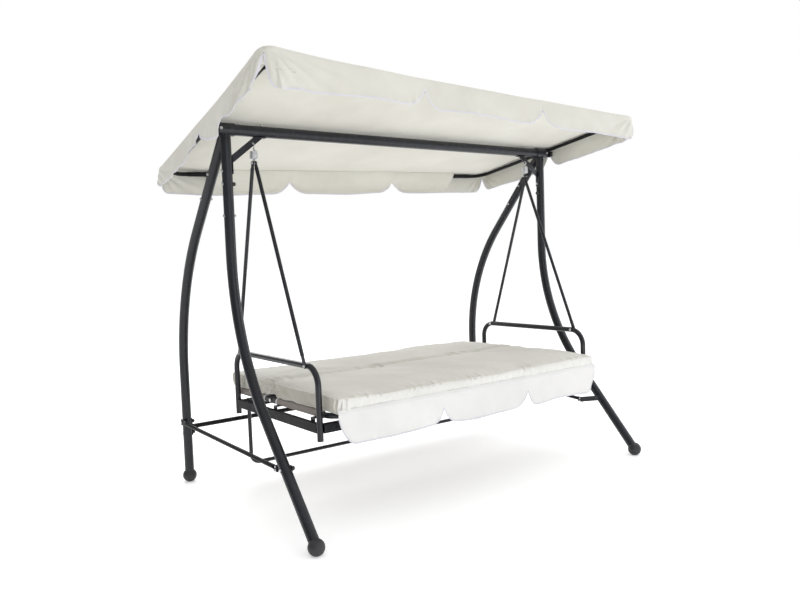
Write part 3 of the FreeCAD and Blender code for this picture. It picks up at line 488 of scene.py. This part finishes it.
# Folds that fan out from a corner: direction and width in degrees, part of the full height
FAN = ((74.0, 8.0, 0.6), (52.0, 7.0, 0.8), (33.0, 5.5, 1.0), (17.0, 4.0, 0.55))
# Height and reach of those folds at the four corners, in the order of EDGE.corners
FAN_SIZES = ((0.008, 0.17), (0.006, 0.15), (0.007, 0.2), (0.015, 0.27))


def corner_folds(s, d):
    """Ridges that fan out from each corner of the cloth, most at the slack front left one."""
    total = np.zeros_like(s)
    for place, (height, spread) in zip(EDGE.corners, FAN_SIZES):
        along = np.abs(EDGE.apart(s, place))
        angle = np.degrees(np.arctan2(d, along + 1e-6))
        reach = np.hypot(along, d)
        fade = np.exp(-(reach / spread) ** 2) * ease(reach / 0.07)
        for middle, width, part in FAN:
            ridge = np.exp(-((angle - middle) / width) ** 2)
            valley = np.exp(-((angle - middle + 1.6 * width) / width) ** 2)
            total = total + height * part * (ridge - 0.5 * valley) * fade
    return total


def drape(s, d):
    """Point of the canopy cloth at perimeter distance s, a length d over the edge."""
    x, y, nx, ny = EDGE.at(s)
    start = tilted(x - CLOTH_ROLL * nx, y - CLOTH_ROLL * ny, CLOTH_EDGE + slack(x, y))
    c, t = tilt_at(x)
    out = np.stack([nx, ny * c, -ny * t], axis=-1)
    down = np.array([0.0, 0.0, -1.0])
    cosine = np.clip(out @ down, -1.0, 1.0)
    turn = np.arccos(cosine)
    inward = down - out * cosine[..., None]
    inward /= np.linalg.norm(inward, axis=-1)[..., None]
    phi = np.minimum(d / CLOTH_ROLL, turn)
    rolled = start + CLOTH_ROLL * (np.sin(phi)[..., None] * out + (1 - np.cos(phi))[..., None] * inward)
    hung = np.maximum(0.0, d - CLOTH_ROLL * turn)
    level = np.stack([nx, ny, np.zeros_like(nx)], axis=-1)
    level /= np.linalg.norm(level, axis=-1)[..., None]
    depth = np.clip(hung / 0.11, 0.0, 1.3)
    loose = np.exp(-((x + CLOTH_X) / 0.1) ** 2) + 0.6 * np.exp(-((x - CLOTH_X) / 0.1) ** 2)
    sway = (0.0055 + 0.0075 * loose) * depth ** 1.2 * ripple(s, (0.47, 0.29, 0.163), 0.8)
    sway = sway + 0.006 * loose * depth * ripple(s + 0.4 * d, (0.108, 0.071), 2.6)
    edge_gap = valance_drop(s) - d
    patchy = ease(0.5 + ripple(s, (0.37,), 3.0))
    pucker = 0.0032 * np.exp(-(edge_gap / 0.024) ** 2) * ripple(s, (0.047, 0.031), 2.2) * patchy
    outward = sway + pucker * ease(depth * 3) + corner_folds(s, d) * ease(depth * 2.5) + 0.004 * depth
    return rolled + down * hung[..., None] + level * outward[..., None]


def slack(x, y):
    """Extra height of the loose cloth above its supports, most over the front left corner and left side."""
    near = np.exp(-(((x + CLOTH_X) / 0.60) ** 2 + ((y + CLOTH_Y) / 0.30) ** 2))
    peak = np.exp(-(((x + CLOTH_X) / 0.10) ** 2 + ((y + CLOTH_Y) / 0.09) ** 2))
    side = np.exp(-((x + CLOTH_X) / 0.22) ** 2)
    return 0.013 * near + 0.006 * peak + 0.009 * side + 0.0012 * ripple(x + 0.7 * y, (0.53, 0.31), 0.5)


def canopy_height(x, y):
    """Height of the cloth between its edges: over the beam, sagging a little in each bay."""
    u, v = np.clip(np.abs(x) / CLOTH_X, 0, 1), np.clip(np.abs(y) / CLOTH_Y, 0, 1)
    inside = (1 - u ** 6) * (1 - v ** 6)
    sag = -0.007 * np.sin(math.pi * v) ** 2 * (1 - u ** 4)
    crown = 0.005 * (1 - v ** 2) * (1 - u ** 2)
    pull = np.zeros_like(x)
    for cx, cy, height in ((1, -1, 0.0012), (1, 1, 0.0012), (-1, 1, 0.0014), (-1, -1, 0.0022)):
        dx, dy = x - cx * CLOTH_X, y - cy * CLOTH_Y
        angle, reach = np.arctan2(dy * cy, dx * cx + 1e-9), np.hypot(dx, dy)
        pull = pull + height * np.cos(angle * 11.0) * np.exp(-(reach / 0.35) ** 2) * ease(reach / 0.08)
    pull = pull * ease((1 - u) * 14) * ease((1 - v) * 10)
    return CLOTH_EDGE + slack(x, y) + inside * (sag + crown) + pull


def build_canopy():
    x, y, nx, ny = EDGE.at(EDGE.s)
    rim_x, rim_y = x - CLOTH_ROLL * nx, y - CLOTH_ROLL * ny
    spine = np.clip(x, -(CLOTH_X - CLOTH_Y), CLOTH_X - CLOTH_Y)
    rows, uvs = [], []
    for q in np.concatenate([np.linspace(0.0, 0.9, 25), np.linspace(0.92, 1.0, 6)]):
        px, py = spine + (rim_x - spine) * q, rim_y * q
        rows.append(tilted(px, py, canopy_height(px, py)))
        uvs.append(np.stack([px, py], axis=-1))
    drop = valance_drop(EDGE.s)
    for t in np.concatenate([np.linspace(0.02, 0.2, 6), np.linspace(0.25, 1.0, 18)]):
        rows.append(drape(EDGE.s, drop * t))
        uvs.append(np.stack([x + nx * drop * t, y + ny * drop * t], axis=-1))
    cloth = grid_object("canopy_cloth", np.array(rows), CANOPY_CLOTH, wrap=True, uvs=np.array(uvs))
    weld_close(cloth)
    thicken(cloth, CANVAS)
    tape = hem_tape("canopy_binding", drape, EDGE.s, drop, 0.0062, closed=True)
    for piece in (cloth, tape):
        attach(piece, "canopy")
    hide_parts("canopy_top", "canopy_valance_front", "canopy_valance_rear",
                "canopy_valance_left", "canopy_valance_right")
    canopy_sleeve("front", EDGE.left_at(POCKET_LEFT) - EDGE.length, EDGE.right_at(POCKET_RIGHT))
    canopy_sleeve("rear", EDGE.rear_at(SLEEVE_ENDS[1]), EDGE.rear_at(SLEEVE_ENDS[0]))


def hem_tape(name, surface, s, depth, width, closed):
    """Folded tape sewn over the lower edge of a hanging cloth, on both of its faces."""
    around = (lambda v: np.roll(v, -1) - np.roll(v, 1)) if closed else np.gradient
    ds = around(s)
    if closed:
        ds = np.where(ds < 0, ds + EDGE.length, ds)
    dd = around(depth)
    size = np.hypot(ds, dd)
    in_s, in_d = dd / size, -ds / size
    small = 1e-4
    rows = []
    for offset, back in ((0.0011, 1.0), (0.0014, 0.5), (0.0013, 0.0), (0.0, -0.16),
                         (-0.0013, 0.0), (-0.0014, 0.5), (-0.0011, 1.0)):
        ps, pd = s + in_s * width * back, np.maximum(depth + in_d * width * back, 0.002)
        point = surface(ps, pd)
        along = surface(ps + small, pd) - point
        below = surface(ps, pd + small) - point
        normal = np.cross(below, along)
        normal /= np.linalg.norm(normal, axis=-1)[..., None] + 1e-12
        rows.append(point + normal * offset)
    table = np.array(rows).transpose(1, 0, 2)
    if closed:
        table = np.concatenate([table, table[:1]])
    lengths = np.concatenate([[0.0], np.cumsum(np.linalg.norm(np.diff(table[:, 3], axis=0), axis=1))])
    across = np.array([0.0, 0.5, 1.0, 1.16, 1.32, 1.82, 2.32]) * width
    uvs = np.stack(np.broadcast_arrays(lengths[:, None], across[None, :]), axis=-1)
    return grid_object(name, table, TAPE, uvs=uvs)


def canopy_sleeve(where, low, high):
    """Sleeve of a rail, from a seam under the top, under the rail and up inside the valance."""
    count = int((high - low) / 0.011)
    s = np.mod(np.linspace(low, high, count), EDGE.length)
    x, y, nx, ny = EDGE.at(s)
    out = np.stack([nx, ny, np.zeros_like(nx)], axis=-1)
    down = np.array([0.0, 0.0, -1.0])
    seam_x = np.clip(x - SEAM_INSET * nx, -SEAM_X, SEAM_X)
    seam_y = np.clip(y - SEAM_INSET * ny, -SEAM_Y, SEAM_Y)
    seam = tilted(seam_x, seam_y, canopy_height(seam_x, seam_y) - 0.0004)
    least = 0.040 + 0.032 * np.exp(-(EDGE.apart(s, FRONT_LEFT) / 0.25) ** 2)
    reach = np.clip(valance_drop(s) - 0.010, least, 0.092)
    foot = drape(s, reach) - 0.0002 * out
    knee = seam + 0.008 * out + 0.040 * down
    shallow = ease((0.080 - reach) / 0.03)[:, None]
    steep_ankle, flat_ankle = drape(s, reach - 0.028) - 0.0012 * out, foot - 0.025 * out + 0.012 * down
    ankle = steep_ankle * (1 - shallow) + flat_ankle * shallow
    rows = []
    for t in np.linspace(0.0, 1.0, 22):
        u = 1 - t
        point = seam * u ** 3 + knee * 3 * t * u ** 2 + ankle * 3 * t ** 2 * u + foot * t ** 3
        wrinkle = 0.0008 * math.sin(math.pi * t) * ripple(s + 0.3 * t, (0.23, 0.101), 1.0)
        rows.append(point - wrinkle[:, None] * out)
    for t in np.linspace(0.1, 1.0, 8):
        rows.append(drape(s, reach + (0.024 - reach) * t) - 0.0022 * ease(t * 3) * out)
    lengths = np.linspace(0.0, high - low, count)
    uvs = np.stack(np.broadcast_arrays(lengths[None, :], np.arange(len(rows))[:, None] * 0.008), axis=-1)
    sleeve = grid_object(f"canopy_sleeve_{where}", np.array(rows), CANOPY_CLOTH, uvs=uvs)
    weld_close(sleeve)
    thicken(sleeve, SLEEVE_CLOTH)
    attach(sleeve, "canopy")


# ------------------------------------------------------------------ cushion
def cushion_block():
    """Plain rounded block, a little smaller than the finished cushion, as even small quads."""
    made = bmesh.new()
    bmesh.ops.create_cube(made, size=1.0)
    half = Vector((CUSHION_X - 0.006, (CUSHION_REAR - CUSHION_FRONT) / 2 - 0.005, 0))
    centre = Vector((0.0, (CUSHION_REAR + CUSHION_FRONT) / 2, 0))
    for vert in made.verts:
        side = Vector((math.copysign(1, vert.co.x), math.copysign(1, vert.co.y), 0))
        z = CUSHION_TOP - 0.006 if vert.co.z > 0 else CUSHION_LOW
        vert.co = Vector((centre.x + side.x * half.x, centre.y + side.y * half.y, z))
    upright = [e for e in made.edges if abs(e.verts[0].co.z - e.verts[1].co.z) > 0.01]
    bmesh.ops.bevel(made, geom=upright, offset=0.016, segments=5, affect="EDGES", profile=0.5)
    level = [e for e in made.edges if abs(e.verts[0].co.z - e.verts[1].co.z) < 1e-6
             and len(e.link_faces) == 2 and e.calc_face_angle(0.0) > 0.8]
    bmesh.ops.bevel(made, geom=level, offset=0.004, segments=2, affect="EDGES", profile=0.5)
    mesh = bpy.data.meshes.new("cushion")
    made.to_mesh(mesh)
    made.free()
    obj = bpy.data.objects.new("cushion", mesh)
    bpy.context.scene.collection.objects.link(obj)
    modifier(obj, "REMESH", mode="VOXEL", voxel_size=0.0075, use_smooth_shade=True)
    apply_modifiers(obj)
    return obj


def coords(obj):
    points = np.empty(len(obj.data.vertices) * 3)
    obj.data.vertices.foreach_get("co", points)
    return points.reshape(-1, 3)


def set_coords(obj, points):
    obj.data.vertices.foreach_set("co", np.asarray(points, float).ravel())
    obj.data.update()


def inflate(obj, held, cap, pressure=4.0, grow=-0.02):
    """Cloth simulation under pressure with the held points pinned; no point moves further than cap."""
    before = coords(obj)
    group = obj.vertex_groups.new(name="held")
    for weight in (0.35, 1.0):
        chosen = np.nonzero(held >= weight)[0]
        group.add([int(i) for i in chosen], weight, "REPLACE")
    cloth = modifier(obj, "CLOTH")
    settings = cloth.settings
    settings.quality = 4
    settings.mass = 0.25
    settings.tension_stiffness = settings.compression_stiffness = 18.0
    settings.shear_stiffness = 6.0
    settings.bending_stiffness = 0.35
    settings.use_pressure = True
    settings.uniform_pressure_force = pressure
    settings.shrink_min = grow
    settings.vertex_group_mass = "held"
    settings.effector_weights.gravity = 0.0
    cloth.collision_settings.use_collision = False
    cloth.point_cache.frame_start, cloth.point_cache.frame_end = 1, 20
    for frame_number in range(1, 21):
        bpy.context.scene.frame_set(frame_number)
    apply_modifiers(obj)
    bpy.context.scene.frame_set(1)
    moved = coords(obj) - before
    size = np.linalg.norm(moved, axis=1)[:, None]
    set_coords(obj, before + moved * (cap * np.tanh(size / cap) / np.maximum(size, 1e-9)))


def build_cushion():
    obj = cushion_block()
    points = coords(obj)
    x, y, z = points.T
    ax, back, front = CUSHION_X - np.abs(x), CUSHION_REAR - y, y - CUSHION_FRONT
    edge = np.minimum(np.minimum(ax, back), front)
    top, low = CUSHION_TOP - 0.006 - z, z - CUSHION_LOW
    held = np.where((edge < 0.013) & (top < 0.008), 1.0, 0.0)
    held = np.where(low < 0.004, 1.0, held)
    held = np.where((np.abs(y - FOLD_Y) < 0.006) & (top < 0.006), 1.0, held)
    inflate(obj, held, 0.014)
    modifier(obj, "SUBSURF", levels=1)
    apply_modifiers(obj)
    set_coords(obj, dressed_cushion(coords(obj)))
    obj.data.materials.clear()
    obj.data.materials.append(CUSHION_CLOTH)
    obj.data.materials.append(CUSHION_FRONT_PAINTED_LIGHT)
    obj.data.materials.append(CUSHION_END_PAINTED_SHADE)
    for face in obj.data.polygons:
        face.use_smooth = True
        # Faces that point forward take the lighter copy of the cushion cloth: painted light.
        boxing = face.normal.y < -0.72 and face.center.y < -0.47
        # Faces that point sideways at the ends take the darker copy of the cushion cloth: painted shade.
        end = abs(face.normal.x) > 0.62 and abs(face.center.x) > 0.74
        face.material_index = 1 if boxing else 2 if end else 0
    welts = cushion_welts(obj)
    for piece in (obj, *welts):
        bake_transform(piece)
    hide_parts("seat_cushion", "back_cushion")


# Creases of the cushion top: middle x and y, turn in radians, height
CREASES = ((-0.55, 0.19, 0.3, 0.0032), (-0.36, 0.10, -0.25, 0.0028), (0.12, -0.21, 0.5, 0.0022),
           (0.47, -0.06, -0.35, 0.0026), (0.25, 0.27, 0.2, 0.0024), (-0.2, -0.33, -0.1, 0.0022))
# Swags at the ends of the cushion: direction from the hinge and width, in degrees
SWAGS = ((12.0, 3.5), (26.0, 5.0), (47.0, 7.0))


def dressed_cushion(points):
    """Seams, gathers and soft folds of the cushion cover, after the simulation."""
    x, y, z = points.T.copy()
    upper = ease((z - 0.490) / 0.03)
    ax, back, front = CUSHION_X - np.abs(x), CUSHION_REAR - y, y - CUSHION_FRONT
    rim = np.minimum(np.minimum(ax, back), front)
    flat = upper * ease(rim / 0.02)
    fold = FOLD_Y + 0.006 * ripple(x, (1.3, 0.6), 0.4)
    off = y - fold
    z = z - 0.016 * upper * np.exp(-(off / 0.0085) ** 2)
    behind, before = np.exp(-((off - 0.035) / 0.022) ** 2), np.exp(-((off + 0.04) / 0.03) ** 2)
    z = z + flat * (0.0045 * behind + 0.0025 * before)
    patchy = ease(0.35 + ripple(x, (0.53, 0.29), 2.2))
    near_fold = 0.0044 * ripple(x + 0.8 * np.abs(off), (0.062, 0.041, 0.117), 1.7) * patchy
    z = z + flat * near_fold * np.exp(-((np.abs(off) - 0.026) / 0.034) ** 2)
    z = z - 0.010 * upper * (1 - (x / CUSHION_X) ** 2) * np.exp(-(front / 0.13) ** 2)
    broad = ripple(x + 0.6 * y, (0.61, 0.33, 0.21), 0.6) + ripple(y - 0.3 * x, (0.43, 0.24), 1.9)
    z = z + flat * 0.0032 * broad
    gather = ripple(x, (0.034, 0.021, 0.083), 0.3) * ease(0.4 + ripple(x, (0.31, 0.17), 1.1))
    z = z + 0.0036 * upper * gather * np.exp(-((front - 0.016) / 0.036) ** 2) * ease(front / 0.008)
    gather_side = ripple(y, (0.037, 0.023), 0.9) * ease(0.4 + ripple(y, (0.21,), 2.0))
    z = z + 0.0016 * upper * gather_side * np.exp(-((ax - 0.014) / 0.028) ** 2)
    for cx, cy, turn, height in CREASES:
        along = (x - cx) * math.cos(turn) + (y - cy) * math.sin(turn)
        across = (y - cy) * math.cos(turn) - (x - cx) * math.sin(turn) + 0.05 * along ** 2
        crease = np.exp(-(across / 0.011) ** 2) - 0.7 * np.exp(-((across - 0.020) / 0.013) ** 2)
        z = z + 1.7 * flat * height * crease * np.exp(-(along / 0.17) ** 2)
    wall = ease((CUSHION_TOP - z) / 0.02) * np.exp(-(ax / 0.03) ** 2)
    swing = np.degrees(np.arctan2(0.512 - z, np.abs(y - HINGE_Y) + 1e-6))
    reach = np.hypot(0.512 - z, y - HINGE_Y)
    swag = sum(np.exp(-((swing - middle) / width) ** 2) for middle, width in SWAGS)
    drift = ripple(y * 0.8 + (CUSHION_TOP - z) * 1.1, (0.118, 0.067), 0.2)
    fan = 0.0085 * (swag - 0.4) * np.exp(-(reach / 0.2) ** 2) * ease(reach / 0.03)
    x = x + np.sign(x) * wall * (0.0040 * drift - 0.002 + fan)
    corner = np.exp(-((np.hypot(ax, front) - 0.01) / 0.05) ** 2) * ease((CUSHION_TOP - z) / 0.02)
    tuck = 0.0050 * corner * ripple(front - ax, (0.026, 0.041), 0.5)
    x, y = x + np.sign(x) * tuck, y - tuck
    pinch = np.exp(-((y - HINGE_Y) / 0.026) ** 2) * np.exp(-(ax / 0.05) ** 2)
    x = x - np.sign(x) * pinch * 0.012
    z = z + pinch * ease((0.515 - z) / 0.04) * 0.026
    face = ease((CUSHION_TOP - z) / 0.018) * np.exp(-(front / 0.02) ** 2)
    y = y - face * 0.0012 * ripple(x, (0.37, 0.19, 0.061), 1.2)
    x = np.clip(x, -0.779, 0.779)
    return np.stack([x, np.maximum(y, -0.4985), np.maximum(z, CUSHION_LOW - 0.0006)], axis=-1)


def cushion_welts(obj):
    """Thin sewn welt that follows the upper and lower seams of the boxing."""
    tree = BVHTree.FromObject(obj, bpy.context.evaluated_depsgraph_get())
    a, r = CUSHION_X - 0.002, 0.017
    low, high = CUSHION_FRONT + 0.002, CUSHION_REAR - 0.002
    right, left, near, far = a - r, -(a - r), low + r, high - r
    outline = []
    for cx, cy, start in ((right, far, 0), (left, far, 90), (left, near, 180), (right, near, 270)):
        outline += [(cx + r * math.cos(math.radians(start + t)), cy + r * math.sin(math.radians(start + t)))
                    for t in range(0, 91, 9)]
    scale = 1.004
    welts = []
    for name, z, lift in (("cushion_welt_upper", CUSHION_TOP + 0.006, -0.0005),
                          ("cushion_welt_lower", 0.4595, 0.0)):
        path = []
        for i, (x0, y0) in enumerate(outline):
            x1, y1 = outline[(i + 1) % len(outline)]
            count = max(1, int(math.hypot(x1 - x0, y1 - y0) / 0.006))
            for k in range(count):
                x, y = x0 + (x1 - x0) * k / count, y0 + (y1 - y0) * k / count
                place = Vector((x * scale, y * scale + 0.002 * math.copysign(1, y), z))
                point, normal = tree.find_nearest(place)[:2]
                path.append(point + normal * lift)
        path = np.array([tuple(p) for p in path])
        for _ in range(3):
            path = (np.roll(path, 1, axis=0) + path * 2 + np.roll(path, -1, axis=0)) / 4
        path[:, 2] = np.maximum(path[:, 2], CUSHION_LOW + 0.0012)
        welt = tube_mesh(name, path, 0.0019, CUSHION_CLOTH, sides=8, closed=True)
        welts.append(welt)
    return welts


# ------------------------------------------------------------------ seat valance
# Place, depth of cloth left there, width of the rounding on each side
APRON_CUTS = ((APRON_NOTCHES[0], 0.072, 0.062, 0.070), (APRON_NOTCHES[1], 0.070, 0.085, 0.055),
              (-APRON_X, 0.032, 0.05, 0.085), (APRON_X, 0.042, 0.075, 0.05))


def apron_drop(x):
    """How far down the cloth under the cushion's front reaches at x."""
    full = APRON_FULL + 0.006 * ripple(x, (0.83, 0.41), 0.6)
    drop = full.copy()
    for place, left_over, before, after in APRON_CUTS:
        gap = x - place
        t = np.clip(np.abs(gap) / np.where(gap < 0, before, after), 0.0, 1.0)
        drop = np.minimum(drop, left_over + (full - left_over) * (1 - (1 - t) ** 2.2) ** 0.85)
    return drop


def apron(x, d):
    """Point of the cloth that hangs from the front of the cushion."""
    depth = np.clip(d / 0.12, 0.0, 1.2)
    wave = 0.0042 * depth ** 1.1 * ripple(x, (0.39, 0.23, 0.131), 1.5)
    gap = apron_drop(x) - d
    patchy = ease(0.5 + ripple(x, (0.33,), 0.2))
    pucker = 0.0020 * np.exp(-(gap / 0.024) ** 2) * ripple(x, (0.038, 0.026), 0.7) * patchy
    curl = 0.010 * np.exp(-((x + APRON_X) / 0.03) ** 2) + 0.012 * np.exp(-((x - APRON_X) / 0.035) ** 2)
    seam = 0.0009 * np.exp(-((d - APRON_SEAM) / 0.0025) ** 2)
    y = -0.4930 - 0.0064 * ease(d / 0.016) + seam - wave - pucker * ease(depth * 3) + curl * depth
    return np.stack([x, y, APRON_TOP - d], axis=-1)


def build_apron():
    xs = spaced(-APRON_X, APRON_X, 0.010, APRON_NOTCHES + (-APRON_X, APRON_X))
    drop = apron_drop(xs)
    rows, uvs = [], []
    for t in np.linspace(0.0, 1.0, 40):
        rows.append(apron(xs, drop * t))
        uvs.append(np.stack([xs, drop * t], axis=-1))
    cloth = grid_object("seat_apron", np.array(rows), VALANCE_CLOTH, uvs=np.array(uvs))
    thicken(cloth, CANVAS)
    tape = hem_tape("seat_apron_binding", apron, xs, drop, 0.006, closed=False)
    for piece in (cloth, tape):
        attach(piece, "seat")
    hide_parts("seat_valance")


# ------------------------------------------------------------------ slings
def build_sling(name, node, body, low_y, high_y):
    """Web stretched over a tube frame, with a sewn sleeve round each side tube."""
    ys = np.linspace(low_y, high_y, 70)
    turns = np.radians(np.linspace(90.0, -262.0, 30))
    rows = []
    web = np.linspace(-(SLING_X - 0.006), SLING_X - 0.006, 60)
    left = [(-SLING_X - SLEEVE_R * math.cos(a), SLING_Z + SLEEVE_R * math.sin(a)) for a in turns[::-1]]
    right = [(SLING_X + SLEEVE_R * math.cos(a), SLING_Z + SLEEVE_R * math.sin(a)) for a in turns]
    section = left + [(x, None) for x in web] + right
    for y in ys:
        row = []
        for x, z in section:
            if z is None:
                dip = 0.0035 * (1 - (x / SLING_X) ** 4)
                edge = 0.002 * math.exp(-((SLING_X - abs(x)) / 0.03) ** 2) * math.sin(y * 61.0 + x * 3.0)
                z = SLING_Z + SLEEVE_R - 0.0006 - dip - abs(edge)
            row.append((x, y, z))
        rows.append(row)
    table = np.array(rows)
    girth = np.concatenate([[0.0], np.cumsum(np.linalg.norm(np.diff(table[0], axis=0), axis=1))])
    uvs = np.stack(np.broadcast_arrays(girth[None, :], ys[:, None]), axis=-1)
    cloth = grid_object(name, table, SLING_CLOTH, uvs=uvs)
    thicken(cloth, WEBBING)
    for side, sign in (("left", -1), ("right", 1)):
        ring_band(f"{name}_cuff_{side}_a", sign * SLING_X, low_y, low_y + CUFF, body)
        ring_band(f"{name}_cuff_{side}_b", sign * SLING_X, high_y - CUFF, high_y, body)
    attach(cloth, body)
    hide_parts(node)


def ring_band(name, x, low, high, body):
    """White bound end of a sling sleeve."""
    rows = []
    inner, outer = 0.0126, SLEEVE_R + 0.0009
    section = [(low, inner), (low, outer - 0.0004), (low + 0.001, outer), (high - 0.001, outer),
               (high, outer - 0.0004), (high, inner)]
    angles = np.linspace(0, 2 * math.pi, 37)
    for y, r in section:
        rows.append([(x + r * math.cos(a), y, SLING_Z + r * math.sin(a)) for a in angles])
    table = np.array(rows)
    across = np.arange(len(rows))[:, None] * 0.003
    uvs = np.stack(np.broadcast_arrays(angles[None, :] * outer, across), axis=-1)
    band = grid_object(name, table, TAPE, uvs=uvs)
    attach(band, body)


# ------------------------------------------------------------------ springs
def build_spring(side, sign):
    """Close-wound helix whose wire runs into a round hook at each end."""
    middle = (HOOK_TOP_Z + HOOK_LOW_Z) / 2 - COIL_SINK
    half = COIL_TURNS * COIL_STEP / 2
    points = []
    for a in np.radians(np.arange(-60, 181, 12)):
        points.append((0.0, -HOOK_R * math.sin(a), HOOK_TOP_Z + HOOK_R * math.cos(a)))
    points.append((0.001, -0.004, middle + half + 0.001))
    for a in np.arange(0, COIL_TURNS * 360 + 1, 15):
        t = a / (COIL_TURNS * 360)
        angle = math.radians(a)
        grow = COIL_R * min(1.0, 0.45 + a / 90.0, 0.45 + (COIL_TURNS * 360 - a) / 90.0)
        height = middle + (half - COIL_STEP / 2) * (1 - 2 * t)
        points.append((grow * math.sin(angle), -grow * math.cos(angle), height))
    points.append((0.001, -0.004, middle - half - 0.001))
    for a in np.radians(np.arange(0, 241, 12)):
        points.append((0.0, HOOK_R * math.sin(a), HOOK_LOW_Z + HOOK_R * math.cos(a)))
    path = np.array(points) + np.array([sign * HOOK_X, 0.0, 0.0])
    spring = tube_mesh(f"coil_spring_{side}", path, WIRE_R, ZINC, sides=10)
    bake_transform(spring)
    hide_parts(f"spring_{side}")


# ------------------------------------------------------------------ camera, light, floor
def build_camera():
    yaw, pitch, roll = (math.radians(v) for v in (37.12, -3.70, -1.99))
    forward = Vector((math.sin(yaw) * math.cos(pitch), math.cos(yaw) * math.cos(pitch), math.sin(pitch)))
    right = Vector((math.cos(yaw), -math.sin(yaw), 0.0))
    up = right.cross(forward)
    across = right * math.cos(roll) + up * math.sin(roll)
    upward = up * math.cos(roll) - right * math.sin(roll)
    data = bpy.data.cameras.new("camera")
    data.lens = 33.37
    data.sensor_width = 36.0
    camera = bpy.data.objects.new("camera", data)
    turn = Matrix((across, upward, -forward)).transposed().to_4x4()
    camera.matrix_world = Matrix.Translation((-2.245, -2.866, 1.075)) @ turn
    bpy.context.scene.collection.objects.link(camera)
    bpy.context.scene.camera = camera


def area_light(name, place, target, size, power, colour=(1.0, 1.0, 1.0)):
    data = bpy.data.lights.new(name, "AREA")
    data.shape = "RECTANGLE"
    data.size, data.size_y = size
    data.energy = power
    data.color = colour
    lamp = bpy.data.objects.new(name, data)
    lamp.location = place
    lamp.rotation_euler = (Vector(target) - Vector(place)).to_track_quat("-Z", "Y").to_euler()
    bpy.context.scene.collection.objects.link(lamp)


def studio_world():
    """White surroundings, brightest above and dimmest at the left, for contrast on the dark tubes."""
    world = bpy.data.worlds.new("studio")
    world.use_nodes = True
    nodes, links = world.node_tree.nodes, world.node_tree.links
    seen = nodes["Background"]
    seen.inputs["Strength"].default_value = 1.0
    seen.inputs["Color"].default_value = (1.0, 1.0, 1.0, 1.0)
    place, lean = nodes.new("ShaderNodeTexCoord"), nodes.new("ShaderNodeVectorMath")
    lean.operation = "DOT_PRODUCT"
    lean.inputs[1].default_value = (0.45, 0.0, 0.89)
    links.new(place.outputs["Generated"], lean.inputs[0])
    height = nodes.new("ShaderNodeMapRange")
    for socket, value in (("From Min", -0.40), ("From Max", 0.80), ("To Min", 0.22), ("To Max", 1.28)):
        height.inputs[socket].default_value = value
    links.new(lean.outputs["Value"], height.inputs["Value"])
    glow = nodes.new("ShaderNodeBackground")
    links.new(height.outputs["Result"], glow.inputs["Strength"])
    either, ray = nodes.new("ShaderNodeMixShader"), nodes.new("ShaderNodeLightPath")
    links.new(ray.outputs["Is Camera Ray"], either.inputs[0])
    links.new(glow.outputs[0], either.inputs[1])
    links.new(seen.outputs[0], either.inputs[2])
    links.new(either.outputs[0], nodes["World Output"].inputs["Surface"])
    return world


def build_stage():
    scene = bpy.context.scene
    scene.view_settings.view_transform = "Standard"
    scene.view_settings.look = "None"
    scene.world = studio_world()
    area_light("key", (-1.2, -4.6, 2.4), (0.0, 0.0, 0.7), (2.6, 1.8), 18.0, (0.94, 0.97, 1.0))
    area_light("side", (4.4, -2.2, 2.0), (0.2, 0.0, 0.8), (0.7, 2.6), 34.0, (0.90, 0.92, 1.0))
    area_light("top", (0.3, 0.6, 4.2), (0.0, 0.0, 0.5), (3.0, 2.0), 44.0)
    area_light("back", (0.6, 4.6, 3.0), (0.2, 0.9, 0.0), (3.2, 1.6), 68.0)
    area_light("low", (-0.4, -3.3, 0.25), (0.0, 0.3, 1.60), (2.4, 0.4), 10.0)
    floor_tree = Tree("studio_floor")
    place = floor_tree.coordinates()
    colour = floor_tree.ramp(floor_tree.noise(place, 0.7, 3.0),
                             [(0.3, (0.94, 0.94, 0.94)), (0.7, (0.96, 0.96, 0.957))])
    grain = floor_tree.bump(floor_tree.noise(place, 120.0, 2.0), 0.05, 0.001)
    rough = floor_tree.span(floor_tree.noise(place, 9.0, 2.0), 0.6, 0.75)
    material = floor_tree.finish(colour, rough, grain,
                                 emission_color=(1.0, 1.0, 1.0, 1.0), emission_strength=0.34)
    corners = [(-60, -60, 0), (60, -60, 0), (60, 60, 0), (-60, 60, 0)]
    floor = mesh_object("floor", corners, [(0, 1, 2, 3)], material)


dress_cad_nodes()
build_camera()
build_stage()
build_canopy()
build_cushion()
build_apron()
build_sling("sling_seat", "seat_sling", "seat", *SEAT_WEB)
build_sling("sling_back", "backrest_sling", "backrest", *BACK_WEB)
for side_name, side_sign in (("left", -1), ("right", 1)):
    build_spring(side_name, side_sign)
